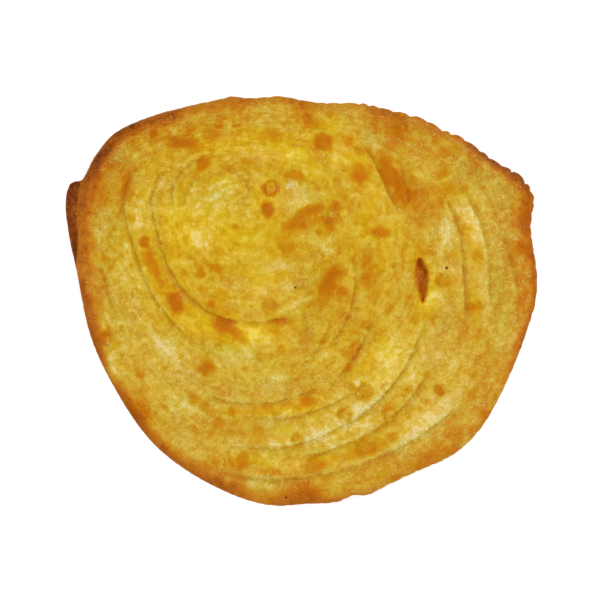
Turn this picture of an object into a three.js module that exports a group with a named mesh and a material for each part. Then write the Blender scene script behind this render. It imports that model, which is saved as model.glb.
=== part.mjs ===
// A paratha: a flaky flatbread made of a rope of dough that is wound into a flat coil,
// pressed out and fried. Millimetres, +Z up. It lies on z = 0 with its better side up,
// and the middle of its outline is over the origin.
import * as THREE from 'three';

// Size of the whole bread.
const LENGTH = 190;
const WIDTH = 165.4;

// Heights above what it lies on.
const BODY = 4.5; // open crumb between two folds
const EYE_RISE = 0.9; // the middle of the coil stands higher than the rest
const EYE_SPREAD = 32;
const EDGE_MID = 1.65; // the outermost line of the rim
const EDGE_TOP = 2.8; // where the rim turns over to the upper face
const EDGE_BASE = 0.8; // where the rim turns under to the lower face
const THINNEST = 1.1; // the least dough under any fold

// It rests on three low swellings, with a flat spot as low in the middle; the rest stands just clear.
const CLEARANCE = 0.45;
const SWELLINGS = [[-58, 38], [60, 34], [-2, -60]];
const SWELLING_SPREAD = 12;
const FLAT_SPOT = { x: 0, y: -10, radius: 12, turn: 20 };

// The rim.
const RIM_WIDTH = 6;
const RIM_TURN = 0.85; // how far in the upper and lower turning lines lie
const RIM_ROWS = [{ inset: 2.5, gap: 1.15 }, { inset: 4.8, gap: 1.9 }]; // the next rows of the upper face
const RIM_STATIONS = 280;
const LIFT_REACH = 20; // the outer band that curls up here and there
const LIFT = { mean: 0.55, twice: 0.4, twiceStart: 0.9, thrice: 0.3, thriceStart: -1.1 };
const SCALLOP_PITCH = 5.8;
const SCALLOP_DEPTH = 0.42;
const SCALLOP_SWAY = 9; // the scallops' pitch wanders over this length, and their depth over the next
const SCALLOP_FADE = 13;
const FRILLED_SIDE = 42; // the directions, from the middle, of the frilled and the smooth side
const SMOOTH_SIDE = 195;

// The slow waves of both faces: a broad one and a finer one that crosses it.
const BROAD_WAVE = { height: 0.22, x: 9.5, y: 11, start: 1.2, sway: 0.6, swayY: 14 };
const FINE_WAVE = { height: 0.16, up: 6.2, down: 7.9, start: 0.8 };

// The mesh.
const UPPER_SPACING = 3.5;
const LOWER_SPACING = 5.4;
const FOLD_STEP = 3;
const SHOULDER = 1.5; // how far beside a crease its two shoulders lie
const ROW_GAP = 1.1; // the least gap between points of the rows beside a line
const BLISTER_GAP = 1;
const FILL_GAP = 0.72; // the least gap of the even fill, as a share of its spacing
const UNEVENNESS = 0.5;
const RIM_KEEP_OFF = 2.2; // inner points stay this far in from the outline
const OUTLINE_STATIONS = 480;
const BUCKET = 4;
const SEED = 7;

// The outline, anticlockwise from the notch above the torn layer on the left.
const OUTLINE = [
  [-88.4, 48.2], [-90.6, 47.9], [-93.2, 46.4], [-94.6, 38], [-92.4, 24.6], [-90.2, 12.5], [-84.5, -14.1],
  [-74.5, -35.5], [-60.6, -55.2], [-45.8, -67.6], [-25.4, -78], [-11, -81.9], [2, -80.9], [14, -80.2],
  [21.3, -77.4], [26.3, -77.2], [34, -73.6], [43.8, -69], [61.4, -60.4], [72, -50.2], [84, -28.8],
  [91.6, -7.7], [94.4, 10.5], [91.9, 30.5], [92.4, 42.6], [87.6, 50], [78, 55.4], [64, 65.4],
  [56.4, 68.2], [50.6, 71.9], [36, 76.2], [24, 78.9], [8, 78.9], [0, 79.9], [-8, 81.8], [-21, 80.6],
  [-29, 82.2], [-45, 78.2], [-61.1, 73.4], [-75.2, 67], [-83.3, 57.2],
];

// The eye of the coil lies off the middle, so that the laps crowd on the left and spread on the right.
const EYE = new THREE.Vector2(-35.7, 42);
const LAP_ROUNDING = 14;

// Each fold follows the coil from one angle to another, in degrees anticlockwise from +X, seen from the eye.
// Its three shares say how far out it runs at its start, middle and end: 0 is the eye, 1 the outline.
// depth is its crease, and step is how far the inner lap stands above the outer one.
const FOLDS = [
  { from: 126, to: 200, shares: [0.205, 0.195, 0.18], depth: 0.7, step: 0.4 },
  { from: -14, to: 80, shares: [0.07, 0.19, 0.3], depth: 0.6, step: 0.4 },
  { from: 106, to: 196, shares: [0.41, 0.33, 0.26], depth: 0.8, step: 0.5 },
  { from: 144, to: 308, shares: [0.45, 0.405, 0.425], depth: 1.1, step: 0.7 },
  { from: 150, to: 268, shares: [0.66, 0.585, 0.535], depth: 0.9, step: 0.5 },
  { from: 84, to: 134, shares: [0.66, 0.68, 0.7], depth: 0.5, step: 0.3 },
  { from: 208, to: 242, shares: [0.81, 0.803, 0.8], depth: 0.6, step: 0.3 },
  { from: -53, to: -23, shares: [0.55, 0.505, 0.44], depth: 0.8, step: 0.5 },
  { from: -65, to: -46, shares: [0.59, 0.54, 0.49], depth: 0.6, step: 0.4 },
  { from: -57, to: -37, shares: [0.65, 0.61, 0.57], depth: 0.8, step: 0.4 },
  { from: -5, to: 19, shares: [0.58, 0.6, 0.69], depth: 0.9, step: 0.7 },
  { from: -3, to: 12, shares: [0.625, 0.66, 0.715], depth: 0.6, step: 0.4 },
  { from: -88, to: -27, shares: [0.84, 0.778, 0.69], depth: 1.2, step: 0.8 },
  { from: -28, to: 2, shares: [0.822, 0.772, 0.757], depth: 0.9, step: 0.5 },
  { from: -23, to: 2, shares: [0.882, 0.845, 0.828], depth: 0.7, step: 0.4 },
  { from: -18, to: -7, shares: [0.952, 0.92, 0.885], depth: 0.5, step: 0.3 },
  { from: -93, to: -60, shares: [0.702, 0.675, 0.65], depth: 0.8, step: 0.5 },
  { from: -80, to: -53, shares: [0.724, 0.718, 0.7], depth: 0.8, step: 0.4 },
  { from: -75, to: -38, shares: [0.852, 0.832, 0.79], depth: 0.9, step: 0.5 },
  { from: -90, to: -38, shares: [0.948, 0.91, 0.925], depth: 1, step: 0.5 },
  { from: 22, to: 50, shares: [0.6, 0.76, 0.985], depth: 0.7, step: 0.5 },
  { from: 40, to: 84, shares: [0.5, 0.5, 0.49], depth: 0.5, step: 0.3 },
];

const CREASE_WIDTH = 1.15;
const STEP_REACH = 5; // how far in from a crease the raised lap fades out
const FOLD_FADE = 0.16; // the share of a fold's length over which each end fades

// The one gap: two laps part and show the browned layer below.
const SLIT = { from: -28.5, to: -15.5, shares: [0.69, 0.664, 0.641], depth: 2.7, width: 2.7, fade: 0.1 };
const SLIT_FLOOR = 0.4; // the share of its width that is floor
const SLIT_TIP = 0.2; // the least width at its ends, as a share

// A torn lower layer sticks out past the rim on the left, below the upper face.
const TEAR = { from: 172, to: 210, shares: [0.976, 0.918, 0.992], drop: 2.1, turn: 0.9, fade: 0.06, reach: 14 };
const TORN_EDGE = 0.4; // what the torn layer's edge stands above the outermost line
const CALM = 0.8; // how much of the other relief the gap and the tear smooth away

// Blisters: place, radius and height of each dome.
const BLISTERS = [
  [-74, 57.7, 3, 1.3], [-12.3, 44.8, 3.4, 1.2], [-3.8, 46.4, 2.4, 1], [-78.5, -14.5, 3.8, 1.3],
  [-84.5, 21.4, 2.1, 0.7], [-66, 2.8, 2.2, 0.7], [56.3, 8.1, 2.9, 0.9], [55.1, -35.5, 2.6, 1.1],
  [24.8, -35.9, 4, 1.3], [34.5, -34.7, 2.3, 0.9], [35.3, -45.2, 3.3, 1.1], [17.5, -45.2, 3.3, 1.2],
  [-1.4, -54.9, 2.9, 1], [36.9, -54.1, 2.2, 0.9], [-12.7, -68.2, 2.2, 0.8], [22.8, -70.6, 2.1, 0.7],
  [65.1, -56.1, 3.3, 1.3], [-12.7, -2, 3.4, 1], [-30.7, -10, 4.6, 1], [-38.1, -26.6, 3.6, 1.1],
  [-50.6, -0.8, 3.8, 1.1], [25.6, -58.9, 4.6, 1.3], [5.4, -65.4, 4.2, 1], [-62.7, 23.8, 2.4, 0.9],
  [31.7, 27.4, 3.6, 0.9], [-47.8, 62.9, 4.4, 1], [11.7, 33.9, 4, 1.2], [-13.5, 36.3, 3, 1],
  [-2.6, 64.5, 4.2, 0.8], [8.7, 63.7, 4, 1],
];
const SMALL_BLISTERS = 60;
const SMALL_SIZES = { radius: [1.3, 2.1], height: [0.3, 0.6], shares: [0.25, 0.92] };
const BLISTER_SIDES = 7;
const TALL_BLISTER = 0.65; // blisters above this height get a second ring of points

// The underside: the same coil seen from below, as one winding crease between flat lands.
const UNDER_TURNS = 3.6;
const UNDER_SHARES = [0.16, 0.9];
const UNDER_STEP = 4.6;
const UNDER_DEPTH = 0.75;
const UNDER_WIDTH = 1.6;
const UNDER_FADE = 0.03;
const HOLLOW = { scale: 0.8, shift: 31, height: 1.4, land: 0.12, most: 0.5 };

const { clamp, degToRad, euclideanModulo, lerp, radToDeg, smoothstep } = THREE.MathUtils;

// The same seed gives the same bread each time.
function makeRandom(seed) {
  let state = seed;
  return () => {
    state = (state * 48271) % 2147483647;
    return state / 2147483647;
  };
}
const random = makeRandom(SEED);

// The outline as a smooth closed curve.
const outlineCurve = new THREE.CatmullRomCurve3(
  OUTLINE.map(([x, y]) => new THREE.Vector3(x, y, 0)), true, 'centripetal');
outlineCurve.arcLengthDivisions = 1200;
const outline = outlineCurve.getSpacedPoints(OUTLINE_STATIONS).slice(0, -1)
  .map(({ x, y }) => new THREE.Vector2(x, y));
const closedOutline = [...outline, outline[0]];

// The outline's distance from the eye, for each whole degree.
function reachByDegree() {
  const polar = outline
    .map((point) => point.clone().sub(EYE))
    .map((arm) => ({ angle: euclideanModulo(radToDeg(arm.angle()), 360), reach: arm.length() }))
    .sort((a, b) => a.angle - b.angle);
  polar.unshift({ ...polar.at(-1), angle: polar.at(-1).angle - 360 });
  polar.push({ ...polar[1], angle: polar[1].angle + 360 });
  return Array.from({ length: 360 }, (_, degree) => {
    const after = polar.findIndex(({ angle }) => angle > degree);
    const [a, b] = [polar[after - 1], polar[after]];
    return lerp(a.reach, b.reach, (degree - a.angle) / (b.angle - a.angle));
  });
}

// The laps are rounder than the outline, so their reach is its mean over some degrees to both sides.
function roundedReach(table) {
  return table.map((_, degree) => {
    let sum = 0;
    for (let k = -LAP_ROUNDING; k <= LAP_ROUNDING; k++) sum += table[euclideanModulo(degree + k, 360)];
    return sum / (2 * LAP_ROUNDING + 1);
  });
}
const lapReach = roundedReach(reachByDegree());

// A place on the coil: the angle in degrees seen from the eye, and the share of the way to the outline.
function coilPoint(angle, share) {
  const degree = euclideanModulo(angle, 360);
  const low = Math.floor(degree);
  const run = share * lerp(lapReach[low], lapReach[(low + 1) % 360], degree - low);
  const turn = degToRad(angle);
  return new THREE.Vector2(EYE.x + run * Math.cos(turn), EYE.y + run * Math.sin(turn));
}

// How far in from the outline a point lies.
function insetAt(x, y) {
  return measureFrom(closedOutline, x, y).distance;
}

// A quadratic through three values, at 0, one half and 1.
function throughThree([start, middle, end], u) {
  return start * (1 - u) * (1 - 2 * u) + 4 * middle * u * (1 - u) + end * u * (2 * u - 1);
}

function foldPoint(fold, u) {
  return coilPoint(lerp(fold.from, fold.to, u), throughThree(fold.shares, u));
}

// The fold's line as stations a few millimetres apart.
function foldLine(fold, step) {
  const rough = Array.from({ length: 33 }, (_, i) => foldPoint(fold, i / 32));
  const length = rough.slice(1).reduce((sum, point, i) => sum + point.distanceTo(rough[i]), 0);
  const count = Math.max(3, Math.round(length / step));
  return Array.from({ length: count + 1 }, (_, i) => foldPoint(fold, i / count));
}

// The distance from a line, more than 0 outside it, and the share of the line's length there.
function measureFrom(line, x, y) {
  let best = { distance: Infinity, side: 1, along: 0 };
  for (let i = 0; i + 1 < line.length; i++) {
    const a = line[i];
    const b = line[i + 1];
    const dx = b.x - a.x;
    const dy = b.y - a.y;
    const u = clamp(((x - a.x) * dx + (y - a.y) * dy) / (dx * dx + dy * dy), 0, 1);
    const distance = Math.hypot(x - a.x - u * dx, y - a.y - u * dy);
    if (distance < best.distance) {
      const side = (x - a.x) * dy - (y - a.y) * dx;
      best = { distance, side: Math.sign(side) || 1, along: (i + u) / (line.length - 1) };
    }
  }
  return { signed: best.distance * best.side, distance: best.distance, along: best.along };
}

// A fold fades in and out over the ends of its line.
function endFade(along, share) {
  return smoothstep(along, 0, share) * (1 - smoothstep(along, 1 - share, 1));
}

const foldShapes = FOLDS.map((fold) => ({ ...fold, line: foldLine(fold, FOLD_STEP) }));
const slitLine = foldLine(SLIT, 2);
const tearLine = foldLine(TEAR, 2.4);

// The crease and the raised inner lap of every fold at one place.
function foldRelief(x, y) {
  let relief = 0;
  for (const { line, depth, step } of foldShapes) {
    const { signed, distance, along } = measureFrom(line, x, y);
    if (distance > 3.5 * STEP_REACH) continue;
    const fade = endFade(along, FOLD_FADE);
    const crease = -depth * Math.exp(-((distance / CREASE_WIDTH) ** 2));
    const lap = signed < 0 ? step * Math.exp(signed / STEP_REACH) : 0;
    relief += fade * (crease + lap);
  }
  return relief;
}

// The gap is widest halfway and closes almost to a point at both ends.
function slitWidth(along) {
  return SLIT.width * Math.max(SLIT_TIP, Math.sqrt(Math.max(0, Math.sin(Math.PI * along))));
}

// 1 on the gap's floor, and 0 outside it.
function slitShare(x, y) {
  const { distance, along } = measureFrom(slitLine, x, y);
  const width = slitWidth(along);
  return endFade(along, SLIT.fade) * (1 - smoothstep(distance, SLIT_FLOOR * width, width));
}

// 1 outside the tear's line, where only the lower layer is left.
function tornShare(x, y) {
  const { signed, distance, along } = measureFrom(tearLine, x, y);
  return distance > TEAR.reach ? 0 : endFade(along, TEAR.fade) * smoothstep(signed, -0.2, TEAR.turn);
}

// Small blisters are scattered by a seeded draw; the coil's eye and the rim stay smooth.
function scatterBlisters() {
  const { radius, height, shares } = SMALL_SIZES;
  return Array.from({ length: SMALL_BLISTERS }, () => {
    const spot = coilPoint(360 * random(), lerp(...shares, Math.sqrt(random())));
    return [spot.x, spot.y, lerp(...radius, random()), lerp(...height, random())];
  });
}
const blisters = [...BLISTERS, ...scatterBlisters()];

function blisterRelief(x, y) {
  let relief = 0;
  for (const [bx, by, radius, height] of blisters) {
    const share = ((x - bx) ** 2 + (y - by) ** 2) / (radius * radius);
    if (share < 1) relief = Math.max(relief, height * (1 - share) ** 1.5);
  }
  return relief;
}

function waves(x, y) {
  const swaying = x / BROAD_WAVE.x + BROAD_WAVE.sway * Math.sin(y / BROAD_WAVE.swayY);
  const broad = BROAD_WAVE.height * Math.sin(swaying) * Math.cos(y / BROAD_WAVE.y + BROAD_WAVE.start);
  const rising = Math.sin((x + y) / FINE_WAVE.up + FINE_WAVE.start);
  return broad + FINE_WAVE.height * rising * Math.sin((x - y) / FINE_WAVE.down);
}

// Here and there the outer band curls up.
function lift(x, y, inset) {
  const turn = Math.atan2(y, x);
  const twice = LIFT.twice * Math.sin(2 * turn + LIFT.twiceStart);
  const thrice = LIFT.thrice * Math.sin(3 * turn + LIFT.thriceStart);
  return Math.max(0, LIFT.mean + twice + thrice) * (1 - smoothstep(inset, 0, LIFT_REACH));
}

// The upper face rounds over to the rim.
function rimRound(inset) {
  const share = clamp(inset / RIM_WIDTH, 0, 1);
  return EDGE_MID + (BODY - EDGE_MID) * (1 - (1 - share) ** 2.4) ** 0.75;
}

function upperHeight(x, y) {
  const inset = insetAt(x, y);
  const fade = smoothstep(inset, 0, RIM_WIDTH);
  const eye = EYE_RISE * Math.exp(-(((x - EYE.x) ** 2 + (y - EYE.y) ** 2) / EYE_SPREAD ** 2));
  const [slit, torn] = [slitShare(x, y), tornShare(x, y)];
  const calm = 1 - CALM * Math.max(slit, torn);
  const relief = calm * (waves(x, y) + foldRelief(x, y) + blisterRelief(x, y) + eye) - SLIT.depth * slit;
  const height = rimRound(inset) + fade * relief - TEAR.drop * torn + lift(x, y, inset);
  return Math.max(height, lowerHeight(x, y) + THINNEST);
}

// The winding crease below, as stations along a spiral.
function underLine() {
  const [first, last] = UNDER_SHARES;
  const line = [];
  let u = 0;
  while (u < 1) {
    const point = coilPoint(360 * UNDER_TURNS * u, lerp(first, last, u));
    line.push(point);
    u += UNDER_STEP / (2 * Math.PI * UNDER_TURNS * point.distanceTo(EYE));
  }
  return line;
}
const under = underLine();

// 1 on the flat spot and on top of each swelling, and 0 well away from them.
function resting(x, y) {
  const fromSpot = Math.hypot(x - FLAT_SPOT.x, y - FLAT_SPOT.y);
  const spot = 1 - smoothstep(fromSpot, FLAT_SPOT.radius, FLAT_SPOT.radius + FLAT_SPOT.turn);
  const swellings = SWELLINGS.map(([sx, sy]) => Math.hypot(x - sx, y - sy) / SWELLING_SPREAD);
  return Math.max(spot, ...swellings.map((away) => Math.exp(-(away ** 2))));
}

// The underside: nearly flat, with that crease, a few hollows, its resting places and the curled rim.
function lowerHeight(x, y) {
  const inset = insetAt(x, y);
  const { distance, along } = measureFrom(under, x, y);
  const crease = UNDER_DEPTH * endFade(along, UNDER_FADE) * Math.exp(-((distance / UNDER_WIDTH) ** 2));
  const hollow = HOLLOW.height * waves(x * HOLLOW.scale + HOLLOW.shift, y * HOLLOW.scale) - HOLLOW.land;
  const relief = Math.max(0, crease, Math.min(hollow, HOLLOW.most));
  const curl = (EDGE_BASE - CLEARANCE) * (1 - smoothstep(inset, 0, 3)) + lift(x, y, inset);
  return curl + (CLEARANCE + relief) * (1 - resting(x, y));
}

// Points of one face, kept apart by a least gap, with a grid of buckets to find near ones fast.
class PointField {
  constructor() {
    this.points = [];
    this.buckets = new Map();
  }

  key(i, j) {
    return i * 1000 + j;
  }

  crowded(point, gap) {
    const column = Math.floor(point.x / BUCKET);
    const row = Math.floor(point.y / BUCKET);
    for (let i = column - 2; i <= column + 2; i++) {
      for (let j = row - 2; j <= row + 2; j++) {
        const near = this.buckets.get(this.key(i, j)) ?? [];
        if (near.some((other) => other.distanceTo(point) < gap)) return true;
      }
    }
    return false;
  }

  add(point, gap) {
    if (this.crowded(point, gap)) return;
    const key = this.key(Math.floor(point.x / BUCKET), Math.floor(point.y / BUCKET));
    if (!this.buckets.has(key)) this.buckets.set(key, []);
    this.buckets.get(key).push(point);
    this.points.push(point);
  }
}

// Small uneven scallops run along the top and right of the outline, and the left is smooth.
function scallop(point, travelled) {
  const turn = Math.atan2(point.y, point.x);
  const frilled = 0.35 + 0.65 * smoothstep(Math.cos(turn - degToRad(FRILLED_SIDE)), 0, 0.7);
  const smooth = 1 - 0.85 * smoothstep(Math.cos(turn - degToRad(SMOOTH_SIDE)), 0.1, 0.7);
  const uneven = 0.65 + 0.35 * Math.sin(travelled / SCALLOP_FADE);
  const phase = (2 * Math.PI * travelled) / SCALLOP_PITCH + 1.4 * Math.sin(travelled / SCALLOP_SWAY);
  return SCALLOP_DEPTH * frilled * smooth * uneven * Math.sin(phase);
}

// Rings round the rim, all with the same stations, so that they join row to row.
function rimRing(inset) {
  const length = outlineCurve.getLength();
  return Array.from({ length: RIM_STATIONS }, (_, i) => {
    const u = i / RIM_STATIONS;
    const point = outlineCurve.getPointAt(u);
    const along = outlineCurve.getTangentAt(u);
    const out = scallop(point, length * u) * (1 - smoothstep(inset, 0, 3)) - inset;
    return new THREE.Vector2(point.x + out * along.y, point.y - out * along.x);
  });
}

function within(point) {
  let inside = false;
  for (let i = 0; i + 1 < closedOutline.length; i++) {
    const [a, b] = [closedOutline[i], closedOutline[i + 1]];
    const crosses = a.y > point.y !== b.y > point.y;
    if (crosses && point.x < lerp(a.x, b.x, (point.y - a.y) / (b.y - a.y))) inside = !inside;
  }
  return inside;
}

// One face's points: its outer ring first, then rows of its own, then an even, slightly uneven fill.
// Nothing but the rows' fixed points lies where clear says no.
function facePoints(ring, rows, spacing, clear = () => true) {
  const field = new PointField();
  for (const point of ring) field.add(point, 0);
  const allowed = (point) => within(point) && insetAt(point.x, point.y) > RIM_KEEP_OFF;
  for (const { point, gap, fixed } of rows) {
    if (allowed(point) && (fixed || clear(point))) field.add(point, gap);
  }
  const rowHeight = (spacing * Math.sqrt(3)) / 2;
  for (let j = 0; j * rowHeight < WIDTH; j++) {
    for (let i = 0; i * spacing < LENGTH; i++) {
      const x = (i + 0.5 * (j % 2)) * spacing - LENGTH / 2 + UNEVENNESS * (random() - 0.5);
      const y = j * rowHeight - WIDTH / 2 + UNEVENNESS * (random() - 0.5);
      const point = new THREE.Vector2(x, y);
      if (allowed(point) && clear(point)) field.add(point, FILL_GAP * spacing);
    }
  }
  return field.points;
}

// The rows of points beside a line: on it, and on both of its shoulders.
function besideLine(line, offsets, widthAt = () => 1) {
  return offsets.flatMap((offset) => line.map((point, i) => {
    const before = line[Math.max(0, i - 1)];
    const after = line[Math.min(line.length - 1, i + 1)];
    const across = new THREE.Vector2(after.y - before.y, before.x - after.x).normalize();
    const width = widthAt(i / (line.length - 1));
    return { point: point.clone().addScaledVector(across, offset * width), gap: ROW_GAP };
  }));
}

function upperRows() {
  const rows = RIM_ROWS.flatMap(({ inset, gap }) => rimRing(inset).map((point) => ({ point, gap })));
  rows.push(...besideLine(slitLine, [-1, 1, 0, -SLIT_FLOOR, SLIT_FLOOR], slitWidth));
  rows.push(...besideLine(tearLine, [0, TEAR.turn + 0.3]));
  for (const { line } of foldShapes) rows.push(...besideLine(line, [0, -SHOULDER, SHOULDER]));
  for (const [x, y, radius, height] of blisters) {
    rows.push({ point: new THREE.Vector2(x, y), gap: BLISTER_GAP });
    for (const share of height > TALL_BLISTER ? [0.55, 1] : [1]) {
      rows.push(...ringOfPoints(x, y, share * radius, BLISTER_SIDES, share, BLISTER_GAP));
    }
  }
  return rows;
}

function ringOfPoints(x, y, radius, sides, start, gap) {
  return Array.from({ length: sides }, (_, k) => {
    const turn = (2 * Math.PI * (k + start)) / sides;
    return { point: new THREE.Vector2(x + radius * Math.cos(turn), y + radius * Math.sin(turn)), gap };
  });
}

// The lower face's rows: three corners of the flat spot, the tops of the swellings, and the crease.
function lowerRows() {
  const corners = ringOfPoints(FLAT_SPOT.x, FLAT_SPOT.y, FLAT_SPOT.radius, 3, 0.75, 0);
  const tops = SWELLINGS.map(([x, y]) => ({ point: new THREE.Vector2(x, y), gap: 0 }));
  const fixed = [...corners, ...tops].map((row) => ({ ...row, fixed: true }));
  return [...fixed, ...besideLine(under, [0, -UNDER_WIDTH, UNDER_WIDTH])];
}

function offTheFlatSpot({ x, y }) {
  return Math.hypot(x - FLAT_SPOT.x, y - FLAT_SPOT.y) > FLAT_SPOT.radius + 1;
}

// Delaunay triangulation by adding one point at a time, then dropping what lies outside the ring.
function triangulate(points, ringCount) {
  const far = 4 * LENGTH;
  const outer = [[-far, -far], [far, -far], [0, far]].map(([x, y]) => new THREE.Vector2(x, y));
  const all = [...points, ...outer];
  const n = points.length;
  let triangles = [withCircle(all, n, n + 1, n + 2)];
  for (let p = 0; p < n; p++) {
    const point = all[p];
    const edges = new Map();
    const kept = [];
    for (const triangle of triangles) {
      const inside = (point.x - triangle.x) ** 2 + (point.y - triangle.y) ** 2 < triangle.square;
      if (!inside) {
        kept.push(triangle);
        continue;
      }
      const [a, b, c] = triangle.corners;
      for (const [from, to] of [[a, b], [b, c], [c, a]]) {
        if (!edges.delete(`${to},${from}`)) edges.set(`${from},${to}`, [from, to]);
      }
    }
    for (const [from, to] of edges.values()) kept.push(withCircle(all, from, to, p));
    triangles = kept;
  }
  return triangles
    .map((triangle) => triangle.corners)
    .filter((corners) => corners.every((corner) => corner < n))
    .filter(([a, b, c]) => !(Math.max(a, b, c) < ringCount && outsideRing(a, b, c)));
}

function withCircle(all, a, b, c) {
  const [p, q, r] = [all[a], all[b], all[c]];
  const double = 2 * ((q.x - p.x) * (r.y - p.y) - (q.y - p.y) * (r.x - p.x));
  const q2 = (q.x - p.x) ** 2 + (q.y - p.y) ** 2;
  const r2 = (r.x - p.x) ** 2 + (r.y - p.y) ** 2;
  const dx = ((r.y - p.y) * q2 - (q.y - p.y) * r2) / double;
  const dy = ((q.x - p.x) * r2 - (r.x - p.x) * q2) / double;
  return { corners: [a, b, c], x: p.x + dx, y: p.y + dy, square: dx * dx + dy * dy };
}

// The ring's points run anticlockwise, so a triangle among them whose numbers run the other way is outside.
function outsideRing(a, b, c) {
  const rising = (a < b && b < c) || (b < c && c < a) || (c < a && a < b);
  return !rising;
}

// The whole bread as one closed mesh: upper face, rim and lower face.
function makeBread() {
  const upperRing = rimRing(RIM_TURN);
  const middleRing = rimRing(0);
  const lowerRing = rimRing(RIM_TURN);
  const upper = facePoints(upperRing, upperRows(), UPPER_SPACING);
  const lower = facePoints(lowerRing, lowerRows(), LOWER_SPACING, offTheFlatSpot);
  const positions = [];
  const faces = [];
  const ringHeight = (point, base) => base + lift(point.x, point.y, 0);
  upper.forEach((point, i) => {
    const tornDown = 0.5 * TEAR.drop * tornShare(point.x, point.y);
    const ringEdge = Math.max(EDGE_TOP - tornDown, EDGE_MID + TORN_EDGE);
    const height = i < RIM_STATIONS ? ringHeight(point, ringEdge) : upperHeight(point.x, point.y);
    positions.push(point.x, point.y, height);
  });
  for (const point of middleRing) positions.push(point.x, point.y, ringHeight(point, EDGE_MID));
  lower.forEach((point, i) => {
    const height = i < RIM_STATIONS ? ringHeight(point, EDGE_BASE) : lowerHeight(point.x, point.y);
    positions.push(point.x, point.y, height);
  });
  const middleStart = upper.length;
  const lowerStart = middleStart + RIM_STATIONS;
  faces.push(...triangulate(upper, RIM_STATIONS).flat());
  for (const [a, b, c] of triangulate(lower, RIM_STATIONS)) {
    faces.push(lowerStart + a, lowerStart + c, lowerStart + b);
  }
  for (let i = 0; i < RIM_STATIONS; i++) {
    const next = (i + 1) % RIM_STATIONS;
    const [a, b] = [i, next];
    const [c, d] = [middleStart + i, middleStart + next];
    const [e, f] = [lowerStart + i, lowerStart + next];
    faces.push(a, c, d, a, d, b, c, e, f, c, f, d);
  }
  const geometry = new THREE.BufferGeometry();
  geometry.setAttribute('position', new THREE.Float32BufferAttribute(positions, 3));
  geometry.setIndex(faces);
  geometry.computeBoundingBox();
  const box = geometry.boundingBox;
  const middle = box.getCenter(new THREE.Vector3());
  const size = box.getSize(new THREE.Vector3());
  geometry.translate(-middle.x, -middle.y, -box.min.z);
  geometry.scale(LENGTH / size.x, WIDTH / size.y, 1);
  geometry.computeVertexNormals();
  return geometry;
}

const crust = new THREE.MeshStandardMaterial({ color: 0xd09e2e, roughness: 0.5, metalness: 0 });

const bread = new THREE.Mesh(makeBread(), crust);
bread.name = 'paratha';

const paratha = new THREE.Group();
paratha.add(bread);

export default paratha;
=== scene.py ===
"""A paratha: a flaky flatbread of coiled dough, fried golden, lying with its better side up."""

import math

import bpy
import numpy as np
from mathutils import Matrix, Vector, noise


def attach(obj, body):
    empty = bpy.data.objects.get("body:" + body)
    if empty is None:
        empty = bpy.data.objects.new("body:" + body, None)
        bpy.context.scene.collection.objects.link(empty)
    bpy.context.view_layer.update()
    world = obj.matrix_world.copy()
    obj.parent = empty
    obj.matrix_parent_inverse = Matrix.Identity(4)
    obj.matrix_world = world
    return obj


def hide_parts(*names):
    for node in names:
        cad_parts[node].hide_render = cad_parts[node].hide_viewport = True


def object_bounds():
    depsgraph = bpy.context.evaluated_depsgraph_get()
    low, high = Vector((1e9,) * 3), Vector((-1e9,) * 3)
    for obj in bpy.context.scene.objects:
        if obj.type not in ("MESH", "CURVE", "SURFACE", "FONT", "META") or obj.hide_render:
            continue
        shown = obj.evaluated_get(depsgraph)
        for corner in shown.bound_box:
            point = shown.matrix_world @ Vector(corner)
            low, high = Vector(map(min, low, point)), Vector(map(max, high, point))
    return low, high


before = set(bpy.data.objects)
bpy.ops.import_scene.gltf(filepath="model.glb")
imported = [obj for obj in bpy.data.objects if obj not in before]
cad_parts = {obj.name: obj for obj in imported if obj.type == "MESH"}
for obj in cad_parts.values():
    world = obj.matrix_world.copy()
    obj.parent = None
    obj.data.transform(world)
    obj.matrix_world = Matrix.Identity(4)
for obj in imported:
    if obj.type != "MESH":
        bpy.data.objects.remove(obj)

solid_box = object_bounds()

MM = 0.001

# Heights above what it lies on, in millimetres, as all sizes are but those of the lights and the surface.
BODY = 4.5
EYE_RISE = 0.9
EYE_SPREAD = 32
EDGE_MID = 1.65
THINNEST = 1.1
UPPER_LIMIT = 6.4
SLAB_BASE = 0.3

# It rests on three low swellings, with a flat spot as low in the middle; the rest stands just clear.
CLEARANCE = 0.45
SWELLINGS = [(-58, 38), (60, 34), (-2, -60)]
SWELLING_SPREAD = 12
FLAT_SPOT = (0, -10)
FLAT_RADIUS = 12
FLAT_TURN = 20

# The rim: how each inset of the flat face steps in and up, above and below the widest line.
RIM_STATIONS = 430
RIM_ABOVE = [(0.15, 0.45), (0.35, 0.6), (0.8, 0.65), (1.5, 0.6), (2.2, 0.4)]
RIM_BELOW = [(0.2, 0.4), (0.6, 0.4), (1.4, 0.3), (2.4, 0.1)]
RIM_BAND = 0.3
LIFT_REACH = 20
LOBES = 140
LOBE_WIDTHS = (3.4, 7.6)
LOBE_DEPTHS = (0.5, 1.3)
RIM_SLOTS = 260
RIM_DRIFT = 3
RIM_PUSHED = 0.6

# The directions from the middle, in degrees, in which the rim is frilled and in which it is smooth.
FRILL_TOWARDS = 50
CALM_TOWARDS = 195

# The mesh: the disc it starts from and the cubes of the remesh, halved above FINE_FROM and on the rim.
START_RADIUS = 80
VOXEL = 1.22
FINE_FROM = 0.5
FACING_DOWN = -0.7
SMOOTHED_FROM = 0.2
SMOOTHED_BELOW_FACE = 0.3

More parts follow.
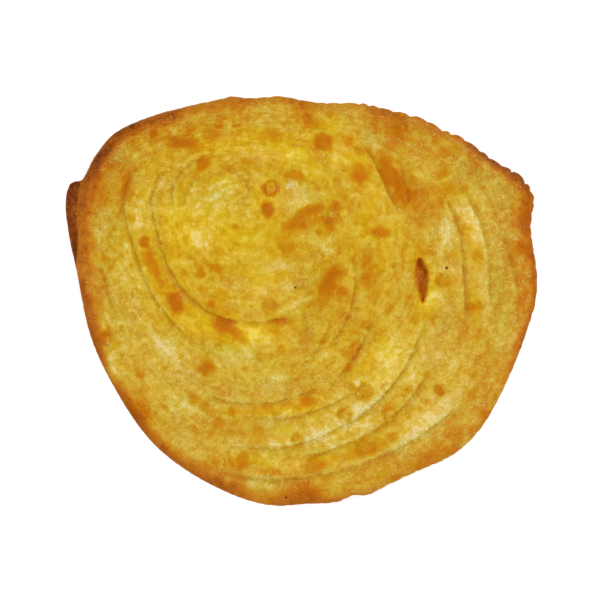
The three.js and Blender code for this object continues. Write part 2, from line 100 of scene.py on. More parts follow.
# The outline, anticlockwise from the notch above the torn layer on the left.
OUTLINE = [
    (-88.4, 48.2), (-90.8, 48), (-93.3, 46.2), (-94.6, 38), (-93, 24.8), (-90.3, 12.5), (-84.6, -14.1),
    (-74.6, -35.5), (-60.9, -55.5), (-46, -67.9), (-25.5, -78.4), (-11, -81.9), (2, -81.1), (14, -80.4),
    (21.3, -77.6), (26.2, -77.7), (34, -73.9), (43.9, -69.2), (61.8, -60.8), (72.3, -50.5), (84, -28.8),
    (91.8, -7.8), (94, 0.4), (94.4, 10.5), (91.9, 30), (93, 41.5), (87.6, 50), (78, 55.6), (64, 65.4),
    (56.4, 68.4), (50.6, 72), (36, 76.2), (24, 78.9), (8, 79.3), (0, 80.4), (-8, 82), (-21, 81.2),
    (-28.4, 82), (-33, 80.8), (-45, 78.2), (-61, 73.8), (-75, 67.2), (-83, 57.8),
]

# The eye of the coil lies off the middle, so that the laps crowd on the left and spread on the right.
EYE = np.array([-35.7, 42.0])
LAP_ROUNDING = 14

# The distance given to points that lie too far from a line for it to matter.
FAR = 1e3

# Folds along the coil: first and last angle, three shares of the way out, crease depth, lap step.
FOLDS = [
    (126, 200, (0.205, 0.195, 0.18), 0.7, 0.4),
    (-14, 80, (0.07, 0.19, 0.3), 0.6, 0.4),
    (106, 196, (0.41, 0.33, 0.26), 0.8, 0.5),
    (144, 308, (0.45, 0.405, 0.425), 1.1, 0.7),
    (150, 268, (0.66, 0.585, 0.535), 0.9, 0.5),
    (84, 134, (0.66, 0.68, 0.7), 0.5, 0.3),
    (208, 242, (0.81, 0.803, 0.8), 0.6, 0.3),
    (-53, -23, (0.55, 0.505, 0.44), 0.8, 0.5),
    (-65, -46, (0.59, 0.54, 0.49), 0.6, 0.4),
    (-57, -37, (0.65, 0.61, 0.57), 0.8, 0.4),
    (-5, 19, (0.58, 0.6, 0.69), 0.9, 0.7),
    (-3, 12, (0.625, 0.66, 0.715), 0.6, 0.4),
    (-88, -27, (0.84, 0.778, 0.69), 1.2, 0.8),
    (-28, 2, (0.822, 0.772, 0.757), 0.9, 0.5),
    (-23, 2, (0.882, 0.845, 0.828), 0.7, 0.4),
    (-18, -7, (0.952, 0.92, 0.885), 0.5, 0.3),
    (-93, -60, (0.702, 0.675, 0.65), 0.8, 0.5),
    (-80, -53, (0.724, 0.718, 0.7), 0.8, 0.4),
    (-75, -38, (0.852, 0.832, 0.79), 0.9, 0.5),
    (-90, -38, (0.948, 0.91, 0.925), 1.0, 0.5),
    (22, 50, (0.6, 0.76, 0.985), 0.4, 0.5),
    (40, 84, (0.5, 0.5, 0.49), 0.5, 0.3),
]
CREASE_WIDTH = 0.9
ROUND_OVER = 0.35
ROUND_OVER_WIDTH = 2.6
SOFTNESS = 0.62
STEP_REACH = 5
FOLD_REACH = 17.5
FOLD_STATIONS = 64
FOLD_STEP = 1.5
FOLD_FADE = 0.16

# The one gap between two laps, and the torn lower layer that sticks out on the left.
SLIT = (-27.2, -16.4, (0.684, 0.663, 0.643))
SLIT_DEPTH = 1.9
SLIT_WIDTH = 2.7
SLIT_FLOOR = 0.4
SLIT_LEAN = 1.2
SLIT_REACH = 12
SLIT_GLOW = 4.2
TEAR = (172, 210, (0.976, 0.918, 0.992))
TEAR_DROP = 2.1
TEAR_TURN = 0.9
TEAR_REACH = 14

# Blisters: place, radius, height, how far the middle has sunk, and how amber (below 0, pale) each is.
BLISTERS = [
    (-74, 57.7, 3, 1.3, 0.2, -1), (-12.3, 44.8, 3.4, 1.2, 0.7, 2.4), (-3.8, 46.4, 2.4, 1, 0.2, -0.7),
    (-77.4, -15.2, 3, 1.4, 0.1, 0.3), (-84.5, 21.4, 2.1, 0.7, 0.6, 0.8), (-66, 2.8, 2.2, 0.7, 0.6, 0.7),
    (56.3, 8.1, 2.9, 0.9, 0.6, 0.9), (55.1, -35.5, 2.6, 1.1, 0.2, 0.9), (24.8, -35.9, 4, 1.3, 0.5, 1.8),
    (34.5, -34.7, 2.3, 0.9, 0.6, 0.8), (35.3, -45.2, 3.3, 1.1, 0.5, 1.7), (17.5, -45.2, 3.3, 1.2, 0.5, 1.5),
    (-1.4, -54.9, 2.9, 1, 0.5, 1), (36.9, -54.1, 2.2, 0.9, 0.4, 0.8), (-12.7, -68.2, 2.2, 0.8, 0.6, 0.8),
    (22.8, -70.6, 2.1, 0.7, 0.7, 0.8), (65.1, -56.1, 3.3, 1.3, 0.2, -0.9), (-12.7, -2, 3.4, 1, 0.5, 0.8),
    (-30.7, -10, 4.6, 1, 0.2, 0.8), (-38.1, -26.6, 3.6, 1.1, 0.1, 0.8), (-50.6, -0.8, 3.8, 1.1, 0.1, 0.8),
    (25.6, -58.9, 4.6, 1.3, 0.1, 0.8), (5.4, -65.4, 4.2, 1, 0.1, 0.8), (-62.7, 23.8, 2.4, 0.9, 0.2, 0.8),
    (31.7, 27.4, 3.6, 0.9, 0.2, 0.8), (-47.8, 62.9, 4.4, 1, 0.1, 0.8), (11.7, 33.9, 4, 1.2, 0.2, 0.8),
    (-13.5, 36.3, 3, 1, 0.1, 0.8), (-2.6, 64.5, 4.2, 0.8, 0.2, 0.8), (8.7, 63.7, 4, 1, 0.2, 0.8),
]
SMALL_BLISTERS = 420
SEED = 7

# The lumps' noise: how each octave fades and how much finer it is, and the step from seed to seed.
OCTAVE_FADE = 0.9
OCTAVE_STEP = 2.1
SEED_SHIFT = 37.1

# The underside: the same coil seen from below, as one winding crease between flat lands.
UNDER_TURNS = 3.6
UNDER_SHARES = (0.16, 0.9)
UNDER_STATIONS = 330
UNDER_DEPTH = 0.75
UNDER_WIDTH = 1.3

# Toasted patches: place, half length, half width, strength, and any tilt in degrees.
TOASTED = [
    (-47.8, 62.9, 7, 2.6, 1, -5), (-35.7, 65.8, 4, 2.4, 0.7, 5), (-12, 66, 6.5, 3.6, 0.4),
    (-39.3, 54.9, 3.4, 2.6, 0.9, 60), (-70, 45.6, 5.6, 2.2, 0.7, 80), (-80, 42.8, 1.8, 1.6, 0.8),
    (-21.6, 55.3, 2.4, 1.2, 0.9, 10), (-13.5, 36.3, 3.8, 2.8, 1, 90), (-3.4, 50, 5, 2, 0.9, -12),
    (-3.6, 31.6, 5.6, 2.2, 0.9, 35), (4, 36.2, 6.4, 2.6, 1, 18), (10.4, 31, 5.2, 2.3, 0.8, -52),
    (13.6, 37.6, 3.8, 2, 0.9), (8.7, 63.7, 4.2, 3.6, 0.8, 20), (2.2, 72.2, 3.6, 2.2, 1, -70),
    (18.4, 63.6, 2.8, 1.8, 0.7, -40), (22.8, 60, 2.6, 1.8, 0.7, -60), (22.8, 50.8, 4.8, 3.6, 0.8, -60),
    (31.7, 27.4, 5.2, 2.4, 1), (34.2, 52, 8, 2.8, 1, -68), (39.6, 42.6, 6, 2.4, 1, -66),
    (37.6, 47.6, 11, 2.9, 1, -57), (44, 46, 5, 1.4, 0.6, -80), (38.2, 67.8, 2.6, 2.4, 1),
    (57, 59, 3.4, 2.4, 0.6, -40), (56.3, 50.8, 2.6, 2, 0.7), (65.1, 44.4, 1.8, 1.6, 0.7),
    (49.4, 43.6, 2, 2, 0.7), (55.9, 39.6, 2.4, 1.6, 0.7, -70), (68.4, 52.8, 5.6, 2, 0.35, 80),
    (89, 34.8, 8, 3, 0.9, 88), (87.8, 20.6, 3.2, 2.8, 0.9), (70, 17.4, 2.4, 2, 0.45),
    (70, -2.4, 2.8, 2, 0.8), (70.8, -13.4, 3.2, 1.6, 0.6, 85), (53, -6, 1.8, 1.6, 0.6),
    (43, 1.6, 1.6, 1.2, 0.7), (41.8, 26.6, 2, 1.6, 0.6), (-26.8, 29.8, 1.8, 1.6, 0.9),
    (-62.7, 23.8, 2.6, 2, 1, 80), (-59, 13, 9, 2.4, 0.85, -64), (-50.6, -0.8, 5, 3, 1, -56),
    (-78, 16.2, 1.6, 1.6, 0.7), (-31.2, -9.4, 5, 2.8, 1, -15), (-25.4, -13.4, 4.6, 2.4, 0.8, -30),
    (-7.4, -7.6, 4.6, 1.5, 0.9, -5), (11.4, 8.4, 8, 3.8, 1, 55), (16.4, 3.8, 3, 2.4, 0.9),
    (1.6, -1.6, 5, 1.6, 0.7, 20), (8.6, -16.2, 2.2, 1.6, 0.7), (18.8, -27, 1.8, 1.4, 1),
    (25.6, -9.6, 2.2, 1.6, 0.8), (-38.1, -26.6, 4.2, 2.4, 1, 10), (-64.4, -29.4, 1.6, 1.6, 0.7),
    (-64, -13.6, 3.2, 1.2, 0.6), (-40.2, 10.8, 2.2, 2, 1), (-34, 13.4, 3, 1.8, 0.9, 10),
    (-40.6, 4.8, 1.6, 1.2, 0.8), (-5.4, 21.4, 3.4, 3.2, 0.6), (-36, -1.2, 1.8, 1.6, 1),
    (-28, -44, 1.8, 1.6, 1), (-38.6, -41.6, 1.8, 1.6, 0.7), (2.2, -40, 3.4, 2.2, 0.9, 10),
    (-9, -41.8, 12, 1.4, 0.4, 2), (25.6, -58.9, 9.4, 2.8, 0.5, 18), (5.4, -65.4, 6.4, 2.6, 0.5, 4),
    (-23.6, -63.4, 3.6, 3, 0.75, 60), (-36, -52.4, 1.8, 1.6, 0.7), (43, -35, 2, 1.6, 0.7),
    (68, -37.6, 2, 1.6, 0.6), (73.6, -45.2, 2.4, 2, 0.9), (1.4, -77.4, 9, 3.4, 0.65, 4),
    (-66, -44, 5.6, 3.6, 0.7, -50), (52.8, -62, 8.4, 2.8, 0.45, 24), (61.6, -54.8, 2.2, 1.2, 0.5, -60),
    (37.8, -70.2, 2, 1.6, 0.7), (55.1, -35.5, 2.4, 2.2, 1), (-79.4, -14, 4, 3, 1, 40),
    (56.3, 8.1, 2.8, 2.6, 0.55), (24.8, -35.9, 3.8, 3.2, 0.3, 30), (17.5, -45.2, 2.6, 2, 0.3),
    (35.3, -45.2, 3, 2.2, 0.2, 20), (-1.4, -54.9, 2.6, 1.8, 0.6), (36.9, -54.1, 2, 1.8, 0.6),
    (-12.7, -2, 3.4, 2, 0.35),
]

# Broad soft zones: place, half length, half width, how much browner, how much milkier, and any tilt.
ZONES = [
    (-40, 27, 16, 12, -0.04, -0.8), (-42, 25, 4, 4, -0.12, 0.5), (-32, 45, 7, 4, -0.07, 0.5, 10),
    (-50, 33, 5, 12, -0.03, -0.7), (-8, 26, 7, 8, 0.03, -0.6), (-8, 14, 6, 2, -0.06, 1),
    (-3, 7, 12, 2, -0.03, 0.8, 15), (-20, -5, 8, 2.2, -0.04, 0.9, -5), (-1, -2, 4, 2, -0.1, 1, 20),
    (-18, -13, 9, 4, -0.12, -0.8), (-55, -17, 8, 4, -0.09, 0.5, -30), (-67, -4, 2.5, 6, -0.04, 1),
    (-28, -23, 5, 4, -0.03, 1), (-11, -35, 8, 4.5, -0.04, 1.2, 5), (-15, -44, 15, 2.4, 0.06, -1.1, 3),
    (2, -39, 5, 2, 0.05, -0.8, 20), (-10, -47, 8, 1.5, -0.02, 0.8, 10), (-10, -52, 14, 1.8, 0.02, -0.6, 3),
    (-26, -57, 3.5, 2.5, -0.05, 1.2), (-46, -58, 2.5, 5, -0.05, 1), (26, -58, 9, 3, 0.05, -0.7, 22),
    (-17, -71.5, 6, 2, -0.06, 1.1, -5), (6, -55, 8, 3, -0.06, 0.9, 10), (12, -50, 12, 2.6, -0.1, 0.7, 10),
    (25, -43, 9, 3, -0.06, 1.1, 35), (50, -48, 14, 4, -0.12, 0.9, 50), (36, -20, 6, 10, -0.1, -0.2, -10),
    (25, -25, 6, 3, -0.02, -0.8, 40), (21, -19, 2.6, 10, 0.12, -0.2, -22), (48, -7, 3, 6, 0.02, -0.8, -30),
    (58, 27, 4, 6, -0.09, 1.6), (60, 13, 6, 2.4, -0.04, 1.1, -15), (68, 33, 3, 10, -0.11, 0.3, 25),
    (60, 44, 4, 3, 0.02, -0.9, -30), (70, 17, 2.4, 3, 0.05, -0.9), (69, 0, 2.4, 8, 0.04, -0.9),
    (73, -2, 2, 9, -0.08, 0.9), (82, 30, 7, 20, 0.03, 0.8), (82, -10, 6, 18, 0.04, 0.5, 15),
    (27, 65, 2.5, 6, -0.04, 1.5, 30), (24, 55, 6, 4, 0.02, -0.9), (5, 55, 10, 3, -0.09, -0.9, -50),
    (-8, 62, 8, 5, -0.05, -0.8, -20), (-30, 62, 10, 2.5, -0.05, -0.9, 5), (-35, 68, 8, 4, 0.06, -0.3),
    (0, 42, 4.5, 6, -0.09, 1.2, 35), (43, 22, 3, 5, 0.02, -0.8), (10, 21, 3, 4, -0.11, 0.9),
    (-74, 58, 4, 4, -0.02, 1), (-54, 47, 3, 3, -0.04, 1.1), (-80, 28, 3, 7, -0.03, 0.7),
    (-66, 36, 2.5, 7, -0.12, 0.6), (-69, 46, 3, 6, 0.12, -0.2, -10), (-70, 8, 7, 7, -0.07, 0.2),
    (-60, -36, 5, 6, 0.02, -0.4), (-2, 57, 5, 4, -0.1, -0.3), (16, 57, 5, 3, -0.1, -0.6),
    (53, 2, 3, 3, -0.09, 0.2), (50, 60, 12, 5, 0.07, 0.1, -25), (75, 57, 10, 3, 0.06, 0.6, -35),
    (73, -41, 4, 9, 0.12, 0.3, -25), (88, 0, 3, 20, 0.1, 0.2), (10, 5, 8, 6, 0.07, -0.3, 50),
    (3, 47, 3, 3, 0.07, -0.5), (-28, -5, 14, 2, 0.05, -0.4, -8), (-22, -18, 5, 5, -0.06, 0.3),
    (-33, -8, 12, 2.5, -0.06, -0.5, -8), (22, -41, 6, 3, -0.06, 0.5, 30), (3, 50, 6, 2, -0.08, 0.3, -40),
    (-44, 24, 4, 5, 0.04, -0.5), (42, 74, 9, 3, -0.06, 0.4, -20), (-15, 46, 4, 8, -0.06, -0.4),
    (-38, 22, 4, 4, -0.05, 0.4), (65, 26, 4, 3, 0.06, -0.4),
]

# Zones that are only browner, or below 0 lighter: place, half length, half width, how much, and any tilt.
BROWNER_ZONES = [
    (30, -32, 5, 3, -0.14, 30), (-15, 44, 4, 3, 0.06), (-85, 41, 4, 8, 0.04), (-63, -8, 5, 4, -0.09),
    (2, -15, 3, 6, 0.07), (45, 44, 5, 5, 0.08), (35, -62, 9, 2.5, 0.09, 20), (63, -54, 6, 4, 0.14, 40),
    (38, 66, 4, 6, 0.12, -20), (-80, 60, 5, 14, 0.08, -40), (47, 37, 7, 6, 0.09),
    (70, 58, 12, 5, 0.06, -35), (86, 50, 8, 6, 0.07, -50), (33, 74, 8, 5, 0.09, -10),
    (48, 70, 7, 5, 0.09, -25), (92, 5, 3, 18, 0.07), (82, -22, 5, 12, 0.05, -25),
    (-60, 72, 14, 4, 0.07, 20), (-74, 65, 5, 5, 0.07), (-25, 77, 6, 4, 0.09), (-77, 40, 7, 9, 0.05),
    (28, 10, 4, 6, 0.11), (3, 58, 5, 4, 0.08), (2, 31, 3, 3, 0.08), (40, 45, 4, 8, 0.05),
    (60, 45, 8, 8, 0.03), (-30, -70, 6, 5, 0.09, -40), (-36, -61, 5, 5, 0.05), (-8, -12, 5, 4, 0.05),
    (-45, -32, 8, 3, 0.04, -20), (-82, 4, 4, 6, 0.05), (83, 25, 6, 12, 0.04), (45, -63, 4, 3, 0.08),
    (-35, 36, 10, 8, -0.06), (-20, 30, 8, 6, -0.04), (-12, 40, 6, 4, -0.06), (-21, 62, 5, 6, -0.07),
    (-40, 62, 8, 6, -0.04), (20, -40, 8, 4, -0.06, 35), (51, 12, 3, 8, -0.06), (51, -3, 4, 4, -0.07),
    (35, -55, 14, 4, -0.05, 20), (40, -30, 8, 8, -0.04), (-48, -41, 8, 3, -0.06, -20),
    (-42, -10, 8, 3, -0.06), (-17, 5, 3, 8, -0.06), (36, 30, 5, 6, -0.08, -30), (5, -56, 12, 6, -0.04),
    (-75, -25, 3, 9, -0.08, -30), (-77, -10, 3, 10, -0.07, 15), (-62, 44, 3, 9, -0.06),
    (-81, 15, 4, 4, -0.06), (-57, 11, 4, 4, -0.06), (-22, 16, 8, 8, -0.04), (-52, -24, 7, 4, -0.06),
    (-54, -37, 7, 4, -0.05, -30), (-16, -30, 9, 3, -0.05), (-33, -63, 4, 3, -0.08), (-17, -79, 3, 3, -0.08),
    (5, -46, 4, 4, -0.07), (38, -42, 6, 4, -0.06, 20), (46, -18, 4, 8, -0.05, -20), (10, 69, 4, 5, -0.08),
    (26, 35, 3, 7, -0.06, -15), (22, 51, 3, 4, -0.04), (84, -11, 4, 6, -0.06), (86, 33, 3, 5, -0.04),
    (-80, 56, 5, 6, 0.06, -40), (-54, 70, 8, 4, 0.07, 10), (31, 72, 5, 4, 0.07), (33, 61, 4, 5, 0.08),
    (46, 34, 4, 5, 0.06), (52, 19, 4, 5, 0.08), (-4, -76, 6, 4, 0.09), (-64, -41, 4, 3, 0.05),
    (21, -66, 4, 4, 0.06), (50, -58, 10, 3, 0.1, 30), (9, 0, 3, 3, 0.07), (-1, -33, 5, 4, 0.06),
    (72, -33, 4, 4, 0.05), (57, -47, 8, 5, 0.06, 40), (-8, -43, 9, 2, -0.07), (5, -24, 4, 3, -0.07),
    (-64, 0, 5, 3, -0.05), (-68, 25, 5, 4, -0.05), (51, 0, 4, 3, -0.05), (49, 17, 3, 5, -0.05, -30),
    (70, 20, 4, 5, -0.06), (1, -2, 3, 3, -0.05), (-82, 39, 2.5, 8, 0.08), (25, -30, 3, 6, -0.04),
    (18, -55, 8, 3, -0.05, 10), (26, -61, 4, 3, -0.06), (-28, -55, 5, 2, -0.05), (-57, -55, 4, 5, -0.04),
    (-72, 52, 6, 6, 0.06), (-57, 64, 5, 3, 0.06), (-35, 63, 4, 3, 0.06), (-22, 50, 3, 7, 0.05),
    (0, 46, 5, 4, 0.06), (13, 47, 4, 4, 0.07), (36, 44, 3, 5, 0.05, 20), (53, 37, 4, 7, 0.06, 20),
    (68, 53, 4, 6, 0.07), (88, 43, 3, 4, 0.06), (26, 20, 3, 12, 0.06), (35, -10, 4, 8, 0.04),
    (44, -2, 4, 5, 0.04), (-64, -42, 5, 4, 0.07, -40), (-61, -26, 4, 5, 0.06), (-36, -50, 8, 3, 0.05, -20),
    (-14, -52, 6, 3, 0.06), (-24, -68, 5, 3, 0.06), (-8, -71, 6, 3, 0.05), (45, -50, 4, 4, 0.06),
    (66, -8, 4, 8, 0.05), (-17, -6, 4, 3, 0.06), (-3, -14, 3, 7, 0.04), (-11, -30, 5, 4, -0.06),
    (-76, 5, 4, 6, 0.05), (-80, 42, 3, 5, 0.05), (3, 70, 4, 6, 0.05), (-77, 64, 6, 3, -0.06, 40),
    (1, 38, 4, 3, -0.06), (-4, 66, 3, 4, -0.06), (23, 53, 3, 4, -0.06), (24, 27, 2.5, 5, -0.06),
    (55, 24, 3, 4, -0.06), (92, 42, 3, 7, -0.06), (-57, 33, 4, 4, -0.06), (-72, -28, 4, 5, -0.06),
    (-8, -55, 4, 4, -0.08), (18, -74, 4, 3, -0.08), (45, -55, 6, 3, -0.06, 20), (58, -32, 4, 6, -0.05),
    (-5, -43, 8, 2, -0.06), (-14, -62, 5, 3, -0.05), (55, -47, 4, 6, -0.05), (-85, 5, 3, 4, 0.08),
    (-80, -12, 3, 5, 0.06), (-66, -6, 4, 5, 0.07), (39, 50, 9, 2.5, 0.06, -60), (50, 19, 2.5, 4, 0.07),
    (83, 17, 3, 8, 0.05), (0, 32, 4, 3, 0.06), (0, 17, 4, 4, 0.05), (4, 59, 6, 3, 0.06, -40),
    (31, 2, 7, 4, 0.05), (-12, -35, 7, 3, 0.05), (10, -51, 5, 3, 0.06), (-30, -48, 7, 3, 0.05),
    (-45, 20, 4, 3, 0.05), (72, -24, 5, 5, 0.05), (16, -6, 3, 3, 0.08), (33, 5, 3, 3, -0.06),
    (90, 23, 3, 4, -0.06), (-88, 8, 2, 4, -0.06), (-84, 15, 3, 3, 0.06), (27, -60, 4, 3, -0.05),
    (2, 65, 7, 3, -0.05), (63, 55, 3, 5, -0.05, 20),
]

# Zones that are only milkier, or below 0 yellower, in the same way.
MILKIER_ZONES = [
    (-57, 15, 8, 12, -0.6, -20), (-25, 26, 12, 7, -0.8), (-15, 9, 10, 3, -0.8), (-28, 6, 5, 2, 0.9, -15),
    (-40, -8, 14, 7, -0.8, -30), (-45, -23, 10, 4, 0.8, -10), (-47, -28, 8, 2.5, 0.9, -30),
    (-30, -37, 9, 4, 0.9, -20), (-18, -64, 14, 2.6, -0.8, -8), (10, -63, 12, 2.6, -0.7, 8),
    (58, -45, 4, 9, 1.2, -20), (42, -57, 8, 2.5, 1.1, 30), (33, -14, 3, 7, -0.6), (53, -22, 4, 4, 1),
    (56, -10, 3, 9, 1.2, -25), (78, 45, 5, 4, 1.5), (-18, 57, 8, 2, 0.6), (10, 70, 9, 3, -0.7, -10),
    (-5, 36, 7, 2, 0.7, -25), (27, 37, 3, 12, -0.9, -25), (32, 15, 4, 12, -0.7), (44, 12, 2, 10, 0.5),
    (-50, -40, 14, 9, 0.3, -45), (-38, 26, 5, 6, 0.8), (-35, 42, 3, 4, 0.5), (67, 52, 5, 7, 0.7),
    (13, 8, 4, 6, 0.5), (17, 55, 3, 4, 0.6), (-30, 48, 4, 3, -0.6), (-50, 4, 4, 5, -0.6),
    (-28, -8, 6, 3, -0.4), (12, -52, 6, 3, -0.7, 10), (50, -47, 5, 4, -0.7), (68, 27, 3, 5, -0.5),
    (8, 66, 5, 4, -0.5), (-48, 2, 5, 4, -0.6), (0, 47, 4, 3, -0.7), (-18, 43, 4, 4, -0.4),
    (-70, 20, 5, 8, -0.4), (-12, -5, 5, 4, -0.5), (25, 10, 7, 8, -0.35), (-47, 28, 4, 5, 0.5),
    (-25, 31, 8, 4, 0.5), (43, 27, 4, 5, 0.5), (5, 4, 5, 4, 0.4), (65, -15, 3, 5, 0.4), (6, 57, 4, 4, 0.5),
    (9, 65, 4, 5, -0.5), (-58, 54, 4, 4, -0.5), (-30, -8, 5, 3, -0.5), (18, -15, 6, 6, -0.3),
    (36, -27, 6, 4, -0.4), (46, -48, 7, 5, -0.5), (10, -51, 5, 3, -0.5), (20, -39, 4, 3, 0.5),
    (-53, 24, 4, 6, 0.4), (53, 27, 4, 7, 0.4), (-33, 46, 4, 4, -0.5), (-30, 3, 8, 3, -0.5),
    (24, -47, 4, 5, -0.5), (48, -1, 4, 4, 0.4), (-15, -12, 4, 3, 0.4),
]

# Painted shade where the laps lie low, and painted light where they stand up: place, half length,
# half width, how much painted shade (below 0, painted light), and any tilt.
PAINTED_LAP_SHADING = [
    (28, 65, 6, 4, 1), (46, 69, 12, 4, 0.9, -20), (70, 52, 9, 8, 1.2, -30), (82, 42, 6, 8, 0.9),
    (79, 3, 5, 22, 1), (59, 31, 4, 8, 0.7), (52, 29, 3, 6, 0.5), (58, -8, 3, 10, 0.8, -15),
    (-33, 43, 7, 3, 0.6), (6, 40, 12, 2.5, 0.8, -40), (5, 2, 7, 18, 0.7), (3, -14, 4, 4, 0.5),
    (-30, -20, 22, 2.5, 0.9, -13), (-12, -33, 22, 4, 0.5), (-18, -51, 20, 2, 0.5, 3),
    (22, -44, 18, 2, 0.5, 28), (-72, -8, 6, 8, 0.6), (-76, 28, 5, 18, 0.6), (-74, 58, 8, 8, 0.7),
    (-50, -42, 12, 10, 0.4), (0, -60, 24, 1.8, 0.4, 5), (50, -50, 18, 2.2, 0.4, 38),
    (-17, -73, 16, 2.5, 0.5), (24, -14, 4, 4, 0.6), (40, 8, 3, 12, 0.3), (-53, 5, 14, 4, -1, -60),
    (-21, -12, 18, 4, -1, -5), (-17, 61, 30, 7, -0.5), (17, 63, 9, 5, -0.6), (24, 50, 4, 12, -0.6, 25),
    (32, 27, 3, 14, -0.7, 12), (64, 33, 13, 2.6, -0.7, -60), (-42, 26, 12, 9, -0.6), (-13, 39, 6, 8, -0.4),
    (-12, -42, 17, 2, -0.8, 4), (28, -26, 5, 7, -0.5), (3, -65, 24, 2.6, -0.7, 5),
    (50, -43, 9, 5, -0.6, 40), (-59, -38, 4, 5, -0.5), (81, -26, 5, 14, -0.4, -20), (12, 33, 6, 5, -0.3),
    (-15, 5, 18, 8, -0.3), (45, 48, 5, 6, 0.4),
]

# How wide and how brown the rim is: angle seen from the middle, width, strength.
RIM_BROWNING = [
    (0, 3.8, 0.92), (10, 4, 0.86), (20, 8, 1.05), (30, 4.6, 1), (40, 4.4, 0.95), (50, 4.2, 0.78),
    (60, 5, 0.66), (70, 5, 0.65), (80, 5, 0.6), (90, 5.5, 0.65), (100, 4.5, 0.58), (110, 6, 0.64),
    (120, 6, 0.78), (130, 7.5, 0.92), (140, 9, 1.02), (150, 8.5, 1.04), (160, 8.5, 0.98), (170, 7.5, 1.02),
    (180, 7, 1.08), (190, 5.6, 1.08), (200, 3.4, 1.15), (210, 5.2, 1.15), (220, 4.8, 1.12), (230, 6, 1.1),
    (240, 8, 1.07), (250, 8.5, 1), (260, 5.5, 0.86), (270, 8, 0.95), (280, 5.5, 0.82), (290, 4.6, 0.58),
    (300, 5.5, 0.5), (310, 5, 0.44), (320, 3.5, 0.32), (330, 3, 0.35), (340, 3, 0.47), (350, 3.6, 0.68),
]

# Single dark specks: place and radius.
SPECKS = [(58.3, 13.3, 0.55), (-2.4, 5.4, 0.5), (-1.6, 6.4, 0.4), (-6.2, -79, 0.5)]
SPECK_HEIGHT = 4.8

# How browned the plain faces are, and what each mark adds, as places on the scale of BROWNING.
FACE_TONE = 0.26
UNDER_TONE = 0.36
TOAST_TONE = 0.34
ZONE_TONE = 1.7
SLIT_TONE = 0.46
TORN_TONE = 0.22
RIM_TONE = 0.38

# The crust's colours from pale dough to burnt, as light reflected, each with its place from 0 to 1.
BROWNING = [
    (0.0, (0.80, 0.64, 0.16)), (0.09, (0.725, 0.518, 0.070)), (0.19, (0.666, 0.438, 0.035)),
    (0.29, (0.612, 0.362, 0.022)), (0.41, (0.576, 0.277, 0.012)), (0.5, (0.565, 0.222, 0.008)),
    (0.585, (0.54, 0.176, 0.006)), (0.7, (0.465, 0.128, 0.005)), (0.8, (0.36, 0.086, 0.004)),
    (0.9, (0.22, 0.046, 0.003)), (1.0, (0.10, 0.018, 0.002)),
]

# What the crust's colour is multiplied by: rich, milky, painted shadow in a fold, painted light, painted
# shade.
RICH = (1.0, 0.995, 0.3)
MILKY = (0.995, 1.015, 1.8)
SHADOW = (0.62, 0.55, 0.45)
PAINTED_LIGHT_TINT = (1.055, 0.98, 0.97)
PAINTED_SHADE_TINT = (0.93, 1.02, 1.03)

# The painted highlights of tiny glints, and the dark specks.
PAINTED_GLINT = (0.86, 0.74, 0.34)
CHAR = (0.06, 0.008, 0.003)

# How fast the streaks' noise changes along the laps and across them.
STREAK_ALONG = 5
STREAK_ACROSS = 34

# The surface below, its size in metres.
SURFACE_WHITE = (0.6, 0.6, 0.6)
SURFACE_GLOW = 0.62
SURFACE_SIZE = 12

# The view: straight down, as wide as the picture, on a point just off the bread's middle.
PICTURE_WIDTH = 242
AIM = (-0.6, 0.4)
SHARP_HEIGHT = 2
LENS = 85
SENSOR = 36

# Lights: the sky's strength, then name, place and size in metres, and power in watts.
SKY = 0.16
LIGHTS = [
    ("key", (0.5, 0.55, 0.6), 0.35, 4.7),
    ("left", (-0.75, 0.1, 0.55), 0.6, 4.3),
    ("front", (0.05, -0.75, 0.55), 0.6, 3.1),
    ("right", (0.75, -0.25, 0.5), 0.6, 2.0),
]


def smooth(value, low, high):
    """0 below low, 1 above high, and a smooth step between."""
    share = np.clip((value - low) / (high - low), 0, 1)
    return share * share * (3 - 2 * share)


def between(a, b, share):
    return a + (b - a) * share


def catmull_rom(points, steps):
    """A smooth closed curve through the points."""
    made = []
    count = len(points)
    for i in range(count):
        p0, p1, p2, p3 = (np.array(points[(i + k) % count], float) for k in (-1, 0, 1, 2))
        t1 = math.sqrt(np.linalg.norm(p1 - p0))
        t2 = t1 + math.sqrt(np.linalg.norm(p2 - p1))
        t3 = t2 + math.sqrt(np.linalg.norm(p3 - p2))
        for k in range(steps):
            t = between(t1, t2, k / steps)
            a1 = between(p0, p1, t / t1)
            a2 = between(p1, p2, (t - t1) / (t2 - t1))
            a3 = between(p2, p3, (t - t2) / (t3 - t2))
            b1 = between(a1, a2, t / t2)
            b2 = between(a2, a3, (t - t1) / (t3 - t1))
            made.append(between(b1, b2, (t - t1) / (t2 - t1)))
    return np.array(made)


def closed(points):
    return np.vstack([points, points[:1]])


def even_stations(curve, count):
    """Points at equal steps along a closed curve."""
    loop = closed(curve)
    travelled = np.concatenate([[0], np.cumsum(np.linalg.norm(np.diff(loop, axis=0), axis=1))])
    wanted = np.arange(count) / count * travelled[-1]
    return np.column_stack([np.interp(wanted, travelled, loop[:, k]) for k in (0, 1)])


outline_curve = catmull_rom(OUTLINE, 24)
outline = closed(even_stations(outline_curve, 480))


def rounded_reach():
    """The coil's reach from its eye for each whole degree, rounder than the outline itself."""
    arms = outline_curve - EYE
    angles = np.degrees(np.arctan2(arms[:, 1], arms[:, 0])) % 360
    order = np.argsort(angles)
    reach = np.interp(np.arange(360), angles[order], np.linalg.norm(arms, axis=1)[order], period=360)
    window = np.ones(2 * LAP_ROUNDING + 1) / (2 * LAP_ROUNDING + 1)
    padded = np.concatenate([reach[-LAP_ROUNDING:], reach, reach[:LAP_ROUNDING]])
    return np.convolve(padded, window, mode="valid")


lap_reach = rounded_reach()


